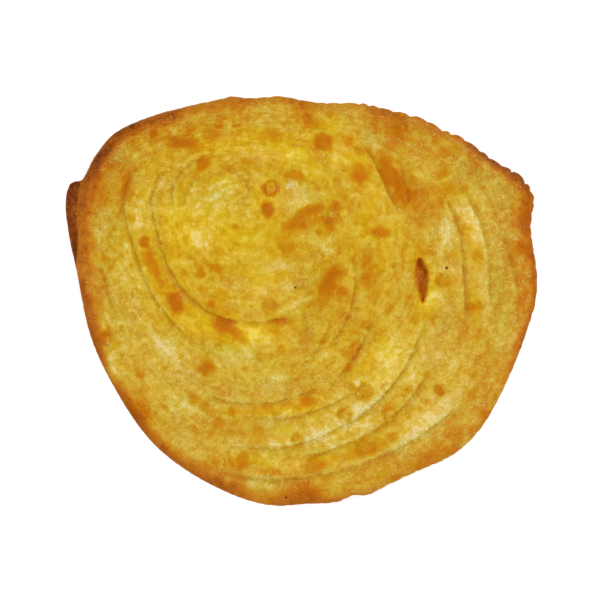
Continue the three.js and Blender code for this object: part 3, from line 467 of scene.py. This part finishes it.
def coil_point(angle, share):
    """A place on the coil: the angle in degrees seen from the eye, and the share of the way out."""
    run = share * np.interp(angle % 360, np.arange(360), lap_reach, period=360)
    turn = np.radians(angle)
    return EYE + np.stack([run * np.cos(turn), run * np.sin(turn)], axis=-1)


def fold_line(first, last, shares):
    """A fold's line from its first to its last angle, its share a quadratic through three values."""
    u = np.linspace(0, 1, FOLD_STATIONS)
    start, middle, end = shares
    out = start * (1 - u) * (1 - 2 * u) + 4 * middle * u * (1 - u) + end * u * (2 * u - 1)
    line = coil_point(between(first, last, u), out)
    travelled = np.concatenate([[0], np.cumsum(np.linalg.norm(np.diff(line, axis=0), axis=1))])
    wanted = np.linspace(0, travelled[-1], max(4, round(travelled[-1] / FOLD_STEP)))
    return np.column_stack([np.interp(wanted, travelled, line[:, k]) for k in (0, 1)])


def measure_from(line, x, y, reach=None):
    """The distance from a line, its side (1 outside, -1 inside) and the share of its length there."""
    distance = np.full(x.shape, FAR)
    side = np.ones(x.shape)
    along = np.zeros(x.shape)
    near = np.arange(x.size)
    if reach is not None:
        low, high = line.min(axis=0) - reach, line.max(axis=0) + reach
        near = np.nonzero((x > low[0]) & (x < high[0]) & (y > low[1]) & (y < high[1]))[0]
    xn, yn = x[near], y[near]
    best, best_side, best_along = distance[near], side[near], along[near]
    for i, (a, b) in enumerate(zip(line[:-1], line[1:])):
        run = b - a
        u = np.clip(((xn - a[0]) * run[0] + (yn - a[1]) * run[1]) / (run @ run), 0, 1)
        gap = np.hypot(xn - a[0] - u * run[0], yn - a[1] - u * run[1])
        closer = gap < best
        outside = (xn - a[0]) * run[1] - (yn - a[1]) * run[0] >= 0
        best = np.where(closer, gap, best)
        best_side = np.where(closer, np.where(outside, 1, -1), best_side)
        best_along = np.where(closer, (i + u) / (len(line) - 1), best_along)
    distance[near], side[near], along[near] = best, best_side, best_along
    return distance, side, along


def end_fade(along, share):
    return smooth(along, 0, share) * (1 - smooth(along, 1 - share, 1))


def scallop(x, y, travelled):
    """Uneven round lobes with sharp notches, deep at the upper right, faint elsewhere, none on the left."""
    draw = np.random.default_rng(SEED)
    ends = np.cumsum(draw.uniform(*LOBE_WIDTHS, LOBES))
    starts = np.concatenate([[0], ends[:-1]])
    depths = draw.uniform(*LOBE_DEPTHS, LOBES)
    lobe = np.clip(np.searchsorted(ends, travelled), 0, LOBES - 1)
    share = np.clip((travelled - starts[lobe]) / (ends[lobe] - starts[lobe]), 0, 1)
    turn = np.arctan2(y, x)
    frilled = 0.25 + 0.75 * smooth(np.cos(turn - math.radians(FRILL_TOWARDS)), 0.78, 0.94)
    calm = 1 - 0.9 * smooth(np.cos(turn - math.radians(CALM_TOWARDS)), 0.1, 0.7)
    return frilled * calm * depths[lobe] * (np.sin(math.pi * share) ** 0.6 - 0.72)


def waves(x, y):
    """Slow waves over the whole face."""
    broad = 0.22 * np.sin(x / 9.5 + 0.6 * np.sin(y / 14)) * np.cos(y / 11 + 1.2)
    return broad + 0.16 * np.sin((x + y) / 6.2 + 0.8) * np.sin((x - y) / 7.9)


def lift(x, y, inset):
    """Here and there the outer band curls up."""
    turn = np.arctan2(y, x)
    curl = 0.55 + 0.4 * np.sin(2 * turn + 0.9) + 0.3 * np.sin(3 * turn - 1.1)
    return np.maximum(0, curl) * (1 - smooth(inset, 0, LIFT_REACH))


class Bread:
    """What every point of the bread's mesh knows about its place: all arrays, one value a point."""

    def __init__(self, points):
        self.x, self.y, self.z = points.T / MM
        self.inset, self.side, self.round = measure_from(outline, self.x, self.y)
        arm = np.stack([self.x, self.y], axis=1) - EYE
        self.angle = np.degrees(np.arctan2(arm[:, 1], arm[:, 0]))
        reach = np.interp(self.angle % 360, np.arange(360), lap_reach, period=360)
        self.share = np.linalg.norm(arm, axis=1) / reach
        self.above = smooth(self.z, EDGE_MID - 0.2, EDGE_MID + 0.6)
        self.upper = self.above * smooth(self.inset, 0.2, 2.4)
        self.lower = (1 - self.above) * smooth(self.inset, 1, 3.5)
        self.folds, self.hollow, self.creased = np.zeros((3, len(points)))
        self.blister, self.amber, self.ringed = np.zeros((3, len(points)))
        self.beside = np.full(len(points), 9.0)
        self.reach = np.full(len(points), 3.0)

    def lumps(self, size, octaves=2, seed=0):
        """Smooth noise from about -1 to 1, with lumps of the size given."""
        shift = SEED_SHIFT * seed
        made = [
            noise.fractal(Vector((a / size + shift, b / size, c / size)), OCTAVE_FADE, OCTAVE_STEP, octaves)
            for a, b, c in zip(self.x, self.y, self.z)
        ]
        return np.array(made)

    def fold(self):
        """The crease and the raised inner lap of every fold."""
        for first, last, shares, depth, step in FOLDS:
            line = fold_line(first, last, shares)
            gap, side, along = measure_from(line, self.x, self.y, FOLD_REACH)
            fade = end_fade(along, FOLD_FADE) * (gap < FAR)
            crease = fade * np.exp(-((gap / CREASE_WIDTH) ** 2))
            lap = np.where(side < 0, step * np.exp(-gap / STEP_REACH), 0) * smooth(gap, 0, 0.6)
            round_over = -ROUND_OVER * depth * np.exp(-((gap / (ROUND_OVER_WIDTH * CREASE_WIDTH)) ** 2))
            self.folds += fade * (SOFTNESS * lap + round_over) - SOFTNESS * depth * crease
            # For the colour: painted shade along the crease, and painted light on the top of the inner lap.
            crest_painted_light = np.where(side < 0, 0.3 * np.exp(-(((gap - 3.6) / 2) ** 2)), 0)
            self.hollow += min(1, depth) * fade * (0.35 * np.exp(-((gap / 1.7) ** 2)) - crest_painted_light)
            nearer = (gap < np.abs(self.beside)) & (fade > 0.01)
            self.beside = np.where(nearer, gap * side, self.beside)
            creased = fade * min(1, 1.1 * depth) * (1 - smooth(gap, 1.3, 2.8))
            self.creased = np.where(nearer, creased, self.creased)

    def part(self):
        """The gap between two laps: widest past its middle and closed to a point at both ends."""
        gap, _, along = measure_from(fold_line(*SLIT), self.x, self.y, SLIT_REACH)
        width = SLIT_WIDTH * np.maximum(0.04, np.sin(math.pi * along**SLIT_LEAN)) ** 0.7
        self.slit = end_fade(along, 0.1) * (1 - smooth(gap / width, SLIT_FLOOR, 1))
        self.slit_mark = end_fade(along, 0.04) * (1 - smooth(gap / (width + 0.5), 0.5, 1.15))
        self.slit_halo = np.exp(-((gap / SLIT_GLOW) ** 2)) * (gap < FAR)

    def tear(self):
        """Outside the tear's line only the lower layer is left."""
        gap, side, along = measure_from(fold_line(*TEAR), self.x, self.y, TEAR_REACH)
        self.torn = end_fade(along, 0.06) * smooth(gap * side, -0.2, TEAR_TURN) * (gap < TEAR_REACH)
        beside = (side < 0) & (gap < TEAR_REACH)
        self.edge = np.where(beside, np.minimum(self.inset, gap), self.inset)

    def blisters(self):
        """Named blisters, some sunk in the middle, and small ones by a seeded draw."""
        draw = np.random.default_rng(SEED)
        small = []
        for _ in range(SMALL_BLISTERS):
            spot = coil_point(360 * draw.random(), 0.2 + 0.77 * math.sqrt(draw.random()))
            amber = draw.uniform(-0.5, 1.0)
            radius = 0.9 + 1.7 * draw.random() ** 2
            small.append((*spot, radius, 0.1 + 0.3 * draw.random(), draw.random() ** 2.5, amber))
        for bx, by, radius, height, sunk, amber in [*small, *BLISTERS]:
            share = ((self.x - bx) ** 2 + (self.y - by) ** 2) / radius**2
            dome = height * np.clip(1 - share, 0, 1) ** 1.3 - 0.8 * sunk * height * np.exp(-5 * share)
            self.blister = np.where(share < 1, np.maximum(self.blister, dome), self.blister)
            nearer = np.sqrt(share) < self.reach
            self.reach = np.where(nearer, np.sqrt(share), self.reach)
            self.amber = np.where(nearer, amber, self.amber)
            self.ringed = np.where(nearer, smooth(sunk, 0.3, 0.6), self.ringed)

    def crumb(self):
        """The uneven surface of fried dough: lumps, and faint ridges along the laps."""
        ridge = np.sin(2 * math.pi * (11 * self.share - self.angle / 360) + 1.1 * self.lumps(12))
        fine = 0.16 * self.lumps(3.4, 3, seed=1) + 0.07 * self.lumps(1.5, 2, seed=2)
        return fine + 0.1 * ridge * smooth(self.share, 0.15, 0.3)

    def upper_relief(self):
        eye = EYE_RISE * np.exp(-((self.x - EYE[0]) ** 2 + (self.y - EYE[1]) ** 2) / EYE_SPREAD**2)
        calm = 1 - 0.8 * np.maximum(self.slit, self.torn)
        relief = waves(self.x, self.y) + eye + self.folds + self.blister + self.crumb()
        return calm * relief - SLIT_DEPTH * self.slit - TEAR_DROP * self.torn

    def resting(self):
        """1 on the flat spot and on top of each swelling, and 0 well away from them."""
        from_spot = np.hypot(self.x - FLAT_SPOT[0], self.y - FLAT_SPOT[1])
        near = 1 - smooth(from_spot, FLAT_RADIUS, FLAT_RADIUS + FLAT_TURN)
        for sx, sy in SWELLINGS:
            away = np.hypot(self.x - sx, self.y - sy) / SWELLING_SPREAD
            near = np.maximum(near, np.exp(-(away**2)))
        return near

    def underside(self):
        """The underside's height: a winding crease, shallow hollows and pits, and the resting places."""
        u = np.linspace(0, 1, UNDER_STATIONS)
        line = coil_point(360 * UNDER_TURNS * u, between(*UNDER_SHARES, u))
        gap, _, along = measure_from(line, self.x, self.y)
        self.wound = end_fade(along, 0.03) * np.exp(-((gap / UNDER_WIDTH) ** 2))
        crease = UNDER_DEPTH * self.wound
        hollow = 1.4 * waves(self.x * 0.8 + 31, self.y * 0.8) - 0.12
        pits = 0.22 * self.lumps(4, 3, seed=3) - 0.05
        relief = np.maximum.reduce([crease, np.minimum(hollow, 0.5), pits, np.zeros_like(gap)])
        return (CLEARANCE + relief) * (1 - self.resting())

    def shaped(self):
        """The heights of all points with the relief of both faces on them."""
        self.fold()
        self.part()
        self.tear()
        self.blisters()
        raised = lift(self.x, self.y, self.inset)
        floor = self.underside()
        height = self.z + raised + self.upper * self.upper_relief() + self.lower * (floor - SLAB_BASE)
        least = raised + floor + THINNEST * self.upper
        height = np.where(self.above > 0.5, np.maximum(height, least), height)
        return np.clip(height, 0, UPPER_LIMIT)

    def frilled(self):
        """Each point's place in plan once the rim has its scallops."""
        length = np.linalg.norm(np.diff(outline, axis=0), axis=1).sum()
        step = np.roll(outline[:-1], -1, axis=0) - np.roll(outline[:-1], 1, axis=0)
        station = np.arange(len(step)) / len(step)
        out = np.column_stack([step[:, 1], -step[:, 0]]) / np.linalg.norm(step, axis=1)[:, None]
        outward = np.column_stack([np.interp(self.round, station, out[:, k], period=1) for k in (0, 1)])
        push = self.drawn_in() + scallop(self.x, self.y, self.round * length)
        push = push * (1 - smooth(self.inset, RIM_PUSHED, RIM_DRIFT))
        return np.column_stack([self.x, self.y]) + outward * push[:, None]

    def drawn_in(self):
        """How far the smoothed mesh has drawn in from the outline, at each point's place along it."""
        slot = np.minimum((self.round * RIM_SLOTS).astype(int), RIM_SLOTS - 1)
        least = np.full(RIM_SLOTS, float(RIM_DRIFT))
        np.minimum.at(least, slot, -self.side * self.inset)
        middles = (np.arange(RIM_SLOTS) + 0.5) / RIM_SLOTS
        return np.interp(self.round, middles, least, period=1)

    def marks(self):
        """What the finish reads at each point: how browned, how milky, how bubbly, and so on."""
        wander = [1.8 * self.lumps(4.5, 3, seed=k) for k in (4, 5)]
        ragged = 0.16 * self.lumps(2.2, 2, seed=6)
        toasted, halo = patches(TOASTED, self.x, self.y, wander, ragged)
        strayed = self.x + wander[1], self.y + wander[0]
        browner, milkier = zones(ZONES, *strayed, kinds=2)
        browner += zones(BROWNER_ZONES, *strayed)[0]
        milkier += zones(MILKIER_ZONES, *strayed)[0]
        # Painted shade where laps lie low and along the folds' creases; below 0, painted light on raised
        # laps.
        painted_shade = zones(PAINTED_LAP_SHADING, self.x + wander[0], self.y + wander[1])[0] + self.hollow
        turn = np.degrees(np.arctan2(self.y, self.x)) % 360
        angles, widths, strengths = np.array(RIM_BROWNING).T
        width = np.interp(turn, angles, widths, period=360)
        strength = np.interp(turn, angles, strengths, period=360)
        uneven = 1 + 0.45 * self.lumps(7, 2, seed=8)
        rim = strength * (1 - smooth(self.edge / (width * uneven), 0.2, 1.15))
        glow = strength * np.exp(-((self.edge / (2.2 * width)) ** 2))
        face = self.above
        browned = FACE_TONE + TOAST_TONE * toasted + 0.05 * halo + ZONE_TONE * browner * (1 - toasted)
        browned += SLIT_TONE * self.slit_mark + 0.02 * self.slit_halo + TORN_TONE * self.torn
        browned = np.maximum(browned * face, 0) + (1 - face) * UNDER_TONE
        under = 1 - smooth(self.z, 0.6, 1.4)
        browned += (RIM_TONE * rim + 0.04 * glow) * (1 - 0.5 * under) * (1 - 0.7 * toasted)
        milky = milkier - 0.5 * halo - toasted - self.slit_halo + 0.5 * smooth(self.share, 0.45, 1)
        return {
            "browned": browned,
            "milky": milky * face,
            # Painted shade, with more of it along the outer edge.
            "painted_shade": painted_shade * face + 1.6 * np.exp(-((self.edge / 1.8) ** 2)),
            "toasted": np.maximum(toasted, rim) * face,
            "bubbly": np.clip(self.blister * 1.5, 0, 1) * face,
            "under": under,
            "lap": self.share,
            "beside": self.beside,
            "creased": np.where(face > 0.5, self.creased * face, self.wound * (1 - face)),
            "reach": self.reach,
            "amber": self.amber * face * (1 - toasted),
            "ringed": self.ringed,
        }


def zones(rows, x, y, kinds=1):
    """What the zones add up to at each point, for each kind of value that a row has before its tilt."""
    given = np.zeros((kinds, *x.shape))
    for zx, zy, length, width, *rest in rows:
        values, tilt = rest[:kinds], rest[kinds:]
        turn = math.radians(sum(tilt))
        u = ((x - zx) * math.cos(turn) + (y - zy) * math.sin(turn)) / length
        v = ((y - zy) * math.cos(turn) - (x - zx) * math.sin(turn)) / width
        given += np.multiply.outer(values, np.exp(-(u**2) - v**2))
    return given


def patches(rows, x, y, wander, ragged):
    """How strongly each point lies in one of the patches, and in the wider halo round them."""
    inner = np.zeros(x.shape)
    outer = np.zeros(x.shape)
    for px, py, length, width, strength, *tilt in rows:
        turn = math.radians(sum(tilt))
        slack = min(0.8, width / 5)
        dx = x - px + slack * wander[0]
        dy = y - py + slack * wander[1]
        u = (dx * math.cos(turn) + dy * math.sin(turn)) / length
        v = (dy * math.cos(turn) - dx * math.sin(turn)) / width
        away = np.hypot(u, v) + ragged
        dark = strength * min(1, 0.3 + 0.2 * width)
        inner = np.maximum(inner, dark * (1 - smooth(away, 0.48, 1.26)))
        outer = np.maximum(outer, strength * np.exp(-((away / 2.1) ** 2)))
    return inner, outer


def deselect_all():
    bpy.ops.object.select_all(action="DESELECT")


def select_faces(piece, wanted):
    """Selects the faces that the test picks, and leaves the piece in edit mode."""
    bpy.ops.object.mode_set(mode="EDIT")
    bpy.ops.mesh.select_mode(type="FACE")
    bpy.ops.mesh.select_all(action="DESELECT")
    bpy.ops.object.mode_set(mode="OBJECT")
    for face in piece.data.polygons:
        face.select = wanted(face)
    bpy.ops.object.mode_set(mode="EDIT")


def step_in(rows):
    """Insets the selected face again and again, each time in and out along its normal."""
    for inward, outward in rows:
        bpy.ops.mesh.inset(thickness=inward * MM, depth=outward * MM, use_boundary=True)


def make_slab():
    """The bread before it is shaped: its outline, drawn up into a slab with a round rim."""
    deselect_all()
    bpy.ops.mesh.primitive_circle_add(vertices=RIM_STATIONS, radius=START_RADIUS * MM, fill_type="NGON")
    slab = bpy.context.active_object
    slab.name = "bread"
    for vertex, (x, y) in zip(slab.data.vertices, even_stations(outline_curve, RIM_STATIONS)):
        vertex.co = (x * MM, y * MM, (EDGE_MID - RIM_BAND / 2) * MM)
    bpy.ops.object.mode_set(mode="EDIT")
    bpy.ops.mesh.select_all(action="SELECT")
    bpy.ops.mesh.extrude_region_move(TRANSFORM_OT_translate={"value": (0, 0, RIM_BAND * MM)})
    step_in(RIM_ABOVE)
    select_faces(slab, lambda face: face.normal.z < -0.9)
    step_in(RIM_BELOW)
    bpy.ops.mesh.select_all(action="SELECT")
    bpy.ops.mesh.normals_make_consistent(inside=False)
    bpy.ops.object.mode_set(mode="OBJECT")
    return slab


def refine(slab):
    """An even mesh all round, twice as fine over the upper face and the rim."""
    remesh = slab.modifiers.new("even", "REMESH")
    remesh.mode = "VOXEL"
    remesh.voxel_size = VOXEL * MM
    bpy.ops.object.modifier_apply(modifier=remesh.name)
    select_faces(slab, lambda face: face.center.z > FINE_FROM * MM or face.normal.z > FACING_DOWN)
    bpy.ops.mesh.subdivide(number_cuts=1)
    top = BODY - SMOOTHED_BELOW_FACE
    select_faces(slab, lambda face: SMOOTHED_FROM * MM < face.center.z < top * MM)
    bpy.ops.mesh.vertices_smooth(factor=0.5, repeat=3)
    bpy.ops.object.mode_set(mode="OBJECT")


def points_of(piece):
    points = np.empty(3 * len(piece.data.vertices))
    piece.data.vertices.foreach_get("co", points)
    return points.reshape(-1, 3)


def shape(slab):
    """Gives the slab its relief, fits it to the solid's box and keeps its marks on the mesh."""
    points = points_of(slab)
    place = Bread(points)
    points[:, 2] = place.shaped() * MM
    points[:, :2] = place.frilled() * MM
    low, high = points.min(axis=0), points.max(axis=0)
    for k in (0, 1):
        wide = solid_box[1][k] - solid_box[0][k]
        points[:, k] = solid_box[0][k] + (points[:, k] - low[k]) * wide / (high[k] - low[k])
    slab.data.vertices.foreach_set("co", points.ravel())
    for name, values in place.marks().items():
        kept = slab.data.attributes.new(name, "FLOAT", "POINT")
        kept.data.foreach_set("value", values.astype(np.float32))
    slab.data.update()
    bpy.ops.object.shade_smooth()


class Shade:
    """A value or colour in a finish, with the operators that its sums need."""

    def __init__(self, finish, socket):
        self.finish = finish
        self.socket = socket

    def __add__(self, other):
        return self.finish.sum("ADD", self, other)

    def __sub__(self, other):
        return self.finish.sum("SUBTRACT", self, other)

    def __rsub__(self, other):
        return self.finish.sum("SUBTRACT", other, self)

    def __mul__(self, other):
        return self.finish.sum("MULTIPLY", self, other)

    def __abs__(self):
        return self.finish.sum("ABSOLUTE", self, 0.0)

    __radd__ = __add__
    __rmul__ = __mul__


class Finish:
    """A material and the nodes that make it."""

    def __init__(self, name):
        self.material = bpy.data.materials.new(name)
        self.material.use_nodes = True
        self.tree = self.material.node_tree
        self.shader = self.tree.nodes["Principled BSDF"]

    def node(self, kind, settings=None, values=None, output=0):
        """Any node: its settings first, then the values or links of its sockets."""
        made = self.tree.nodes.new(kind)
        for name, value in (settings or {}).items():
            setattr(made, name, value)
        for name, value in (values or {}).items():
            self.fill(made.inputs[name], value)
        return Shade(self, made.outputs[output])

    def fill(self, socket, value):
        if isinstance(value, Shade):
            self.tree.links.new(value.socket, socket)
        elif isinstance(value, tuple) and socket.type == "RGBA":
            socket.default_value = (*value, 1)
        else:
            socket.default_value = value

    def sum(self, operation, a, b):
        return self.node("ShaderNodeMath", {"operation": operation}, {0: a, 1: b})

    def mark(self, name):
        return self.node("ShaderNodeAttribute", {"attribute_name": name}, output="Fac")

    def blend(self, share, a, b, how="MIX"):
        settings = {"data_type": "RGBA", "blend_type": how}
        return self.node("ShaderNodeMix", settings, {0: share, 6: a, 7: b}, output=2)

    def ramp(self, value, stops):
        """The colours of the stops, each at its place from 0 to 1, and blended between them."""
        made = self.node("ShaderNodeValToRGB", None, {"Fac": value})
        elements = made.socket.node.color_ramp.elements
        while len(elements) < len(stops):
            elements.new(0.5)
        for element, (place, colour) in zip(elements, stops):
            element.position = place
            element.color = (*colour, 1)
        return made

    def ease(self, value, low, high):
        """0 below low, 1 above high, and a smooth step between."""
        settings = {"interpolation_type": "SMOOTHSTEP"}
        return self.node("ShaderNodeMapRange", settings, {"Value": value, "From Min": low, "From Max": high})

    def vector(self, operation, *values, output=0):
        return self.node("ShaderNodeVectorMath", {"operation": operation}, dict(enumerate(values)), output)

    def mottle(self, where, scale, detail, roughness, twist=0.0):
        values = {"Vector": where, "Scale": scale, "Detail": detail, "Roughness": roughness}
        return self.node("ShaderNodeTexNoise", None, {**values, "Distortion": twist})

    def grain(self, where, size, detail, roughness, twist=0.0):
        """Mottling with lumps of the size given, in millimetres."""
        return self.mottle(where, 1 / (size * MM), detail, roughness, twist)

    def bubbles(self, where, size):
        """The distance from the nearest of many scattered points, 0 at each and 1 far off."""
        settings = {"feature": "F1"}
        return self.node("ShaderNodeTexVoronoi", settings, {"Vector": where, "Scale": 1 / (size * MM)})

    def outputs(self, **values):
        """Fills the shader's own sockets; an underscore in a name stands for a space."""
        for name, value in values.items():
            self.fill(self.shader.inputs[name.replace("_", " ")], value)


def fried_crust():
    """Golden fried dough: mottled, streaked along its laps, toasted in patches, with a film of oil."""
    crust = Finish("fried crust")
    where = crust.node("ShaderNodeTexCoord", output="Object")
    browned, milky, painted_shade, toasted, bubbly, under = map(
        crust.mark, ("browned", "milky", "painted_shade", "toasted", "bubbly", "under"))
    lap, beside, creased, reach, amber, ringed = map(
        crust.mark, ("lap", "beside", "creased", "reach", "amber", "ringed"))

    # Streaks follow the laps: noise drawn out along the coil and fine across it.
    from_eye = crust.vector("SUBTRACT", where, (EYE[0] * MM, EYE[1] * MM, 0))
    flat = crust.vector("MULTIPLY", from_eye, (1, 1, 0))
    aim = crust.vector("NORMALIZE", flat)
    across = crust.node("ShaderNodeCombineXYZ", None, {"Z": lap * STREAK_ACROSS})
    stretched = crust.vector("MULTIPLY_ADD", aim, (STREAK_ALONG, STREAK_ALONG, 0), across)
    streak = crust.mottle(stretched, 1.0, 3.0, 0.6)
    wavering = crust.mottle(stretched, 0.62, 2.0, 0.5, 0.6)
    line = crust.ease(abs(wavering - 0.5), 0.02, 0.0)

    # Light and dark at every size, from clouds to grain: where it is lighter it is milkier too.
    cloud = crust.grain(where, 6.5, 3, 0.6, 0.7)
    fleck = crust.grain(where, 2.6, 2, 0.5, 0.5)
    grain = crust.grain(where, 0.8, 2, 0.7)
    rough_here = crust.ease(milky + 2 * (crust.grain(where, 14, 2, 0.5) - 0.5), -0.9, 0.9)
    busy = 0.35 + 0.9 * rough_here
    curd = crust.ease(crust.grain(where, 4.4, 4, 0.66, 1.0), 0.4, 0.62)
    light = 0.4 * (0.5 - cloud) + 0.4 * (0.5 - streak) + 0.31 * (0.5 - fleck) + 0.13 * (0.5 - curd)
    light = light * (1 - 0.7 * toasted)

    # Blisters: amber discs, or rings round a sunk middle, with a paler edge.
    near = reach + 0.9 * (fleck - 0.5) + 0.5 * (grain - 0.5)
    disc = crust.ease(near, 1.2, 0.7)
    ring = crust.ease(abs(near - 0.8), 0.46, 0.0)
    blistered = amber * (disc * (1 - 0.75 * ringed) + 0.8 * ring * ringed)

    # Folds: painted shade as a dark line in the crease and softly on its outer side, and painted light as a
    # paler edge of the inner lap.
    aside = beside + 1.6 * (fleck - 0.5)
    crease_shade_line = creased * crust.ease(abs(aside), 0.62, 0.1) * crust.ease(cloud, 0.34, 0.54) * (1 - under)
    shaded = (1 - under) * creased * crust.ease(aside, 2.5, 0.2) * crust.ease(aside, -0.4, 0.2)
    raised = (1 - under) * creased * crust.ease(aside, -0.3, -1.1) * crust.ease(aside, -2.8, -1.3)

    # The browning of all these together, then tinted milky or rich, given painted shade and painted light,
    # and painted fold shadow.
    tone = browned - light + busy * 0.4 * (grain - 0.5) + 0.14 * blistered + 0.07 * crease_shade_line
    tone = tone + 0.06 * shaded - 0.06 * raised
    tone = tone + 0.03 * line * (1 - under) * (1 - toasted)
    blotch = crust.ease(crust.grain(where, 13, 4, 0.6, 0.6), 0.38, 0.66)
    tone = tone + under * (0.22 * blotch - 0.13 * creased)
    colour = crust.ramp(tone, BROWNING)
    milk = milky * 0.5 + 1.5 * light + 1.0 * (crust.grain(where, 5, 3, 0.6) - 0.5) + 0.4 - 0.5 * blistered
    tint = crust.blend(crust.ease(milk, -0.2, 1.1), RICH, MILKY)
    colour = crust.blend(1.0, colour, tint, "MULTIPLY")
    # Painted shade on low laps, in creases and along the edge, and painted light on raised laps, with random
    # flecks.
    painted_shading = 0.72 * painted_shade + 0.9 * crust.grain(where, 3.4, 4, 0.6) - 0.06
    colour = crust.blend(1.0, colour, crust.blend(painted_shading, PAINTED_LIGHT_TINT, PAINTED_SHADE_TINT), "MULTIPLY")
    colour = crust.blend(0.17 * crease_shade_line + 0.16 * shaded, colour, SHADOW, "MULTIPLY")

    # Painted highlights: tiny pale glints on the bubbles, thick in some places and missing in others, and
    # the dark specks.
    fine = crust.bubbles(where, 1.0)
    crowded = crust.ease(crust.grain(where, 5.5, 3, 0.65) + 0.12 * rough_here + 0.1 * bubbly, 0.56, 0.7)
    painted_glint = crust.ease(fine, 0.3, 0.12) * crowded
    colour = crust.blend(0.7 * painted_glint * (1 - under) * (1 - 0.9 * toasted), colour, PAINTED_GLINT)
    for x, y, radius in SPECKS:
        gap = crust.vector("DISTANCE", where, (x * MM, y * MM, SPECK_HEIGHT * MM), output="Value")
        colour = crust.blend(crust.ease(gap, radius * 1.6 * MM, radius * 0.6 * MM), colour, CHAR)

    # Oil: a thin coat, wetter in places, over a crust of fine bubbles.
    wet = crust.ease(crust.grain(where, 3, 3, 0.6), 0.45, 0.7)
    oily = (0.02 + 0.15 * wet) * (1 - 0.85 * crust.ease(tone, 0.42, 0.64))
    height = 0.6 * fleck + 0.3 * grain + (0.2 + 0.5 * bubbly + 0.5 * crowded) * (1 - fine) + 0.3 * cloud
    height = height - 0.25 * line - 0.3 * crease_shade_line + 0.25 * ring * ringed
    bump = crust.node("ShaderNodeBump", None, {"Strength": 0.6, "Distance": 0.5 * MM, "Height": height})
    crust.outputs(
        Base_Color=colour, Roughness=0.5, Specular_IOR_Level=0.07, Coat_Weight=oily, Coat_Roughness=0.28,
        Normal=bump, Subsurface_Weight=0.1, Subsurface_Radius=(0.003, 0.0015, 0.0004), Subsurface_Scale=1.0,
        IOR=1.4)
    return crust.material


def surface_finish():
    """A plain pale surface."""
    white = Finish("pale surface")
    white.outputs(
        Base_Color=SURFACE_WHITE, Roughness=0.9, Emission_Color=(1, 1, 1), Emission_Strength=SURFACE_GLOW)
    return white.material


def make_bread():
    bread = make_slab()
    refine(bread)
    shape(bread)
    bread.data.materials.clear()
    bread.data.materials.append(fried_crust())
    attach(bread, "root")
    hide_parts("paratha")


def make_surface():
    deselect_all()
    bpy.ops.mesh.primitive_plane_add(size=SURFACE_SIZE)
    surface = bpy.context.active_object
    surface.name = "surface"
    surface.data.materials.append(surface_finish())


def area_light(name, place, size, power):
    """A square light at a place in metres, turned towards the bread."""
    deselect_all()
    bpy.ops.object.light_add(type="AREA", location=place)
    light = bpy.context.active_object
    light.name = name
    light.rotation_euler = (-Vector(place)).to_track_quat("-Z", "Y").to_euler()
    light.data.size = size
    light.data.energy = power


def make_light():
    """Broad lights on all sides leave the space overhead dim, so that the oil shines only in glints."""
    world = bpy.data.worlds.new("studio")
    bpy.context.scene.world = world
    world.use_nodes = True
    sky = world.node_tree.nodes["Background"]
    sky.inputs["Color"].default_value = (1, 1, 1, 1)
    sky.inputs["Strength"].default_value = SKY
    for name, place, size, power in LIGHTS:
        area_light(name, place, size, power)


def make_camera():
    height = PICTURE_WIDTH * LENS / SENSOR + SHARP_HEIGHT
    bpy.ops.object.camera_add(location=(AIM[0] * MM, AIM[1] * MM, height * MM), rotation=(0, 0, 0))
    camera = bpy.context.active_object
    camera.data.lens = LENS
    camera.data.sensor_width = SENSOR
    bpy.context.scene.camera = camera


make_bread()
make_surface()
make_light()
make_camera()
bpy.context.scene.view_settings.view_transform = "Standard"
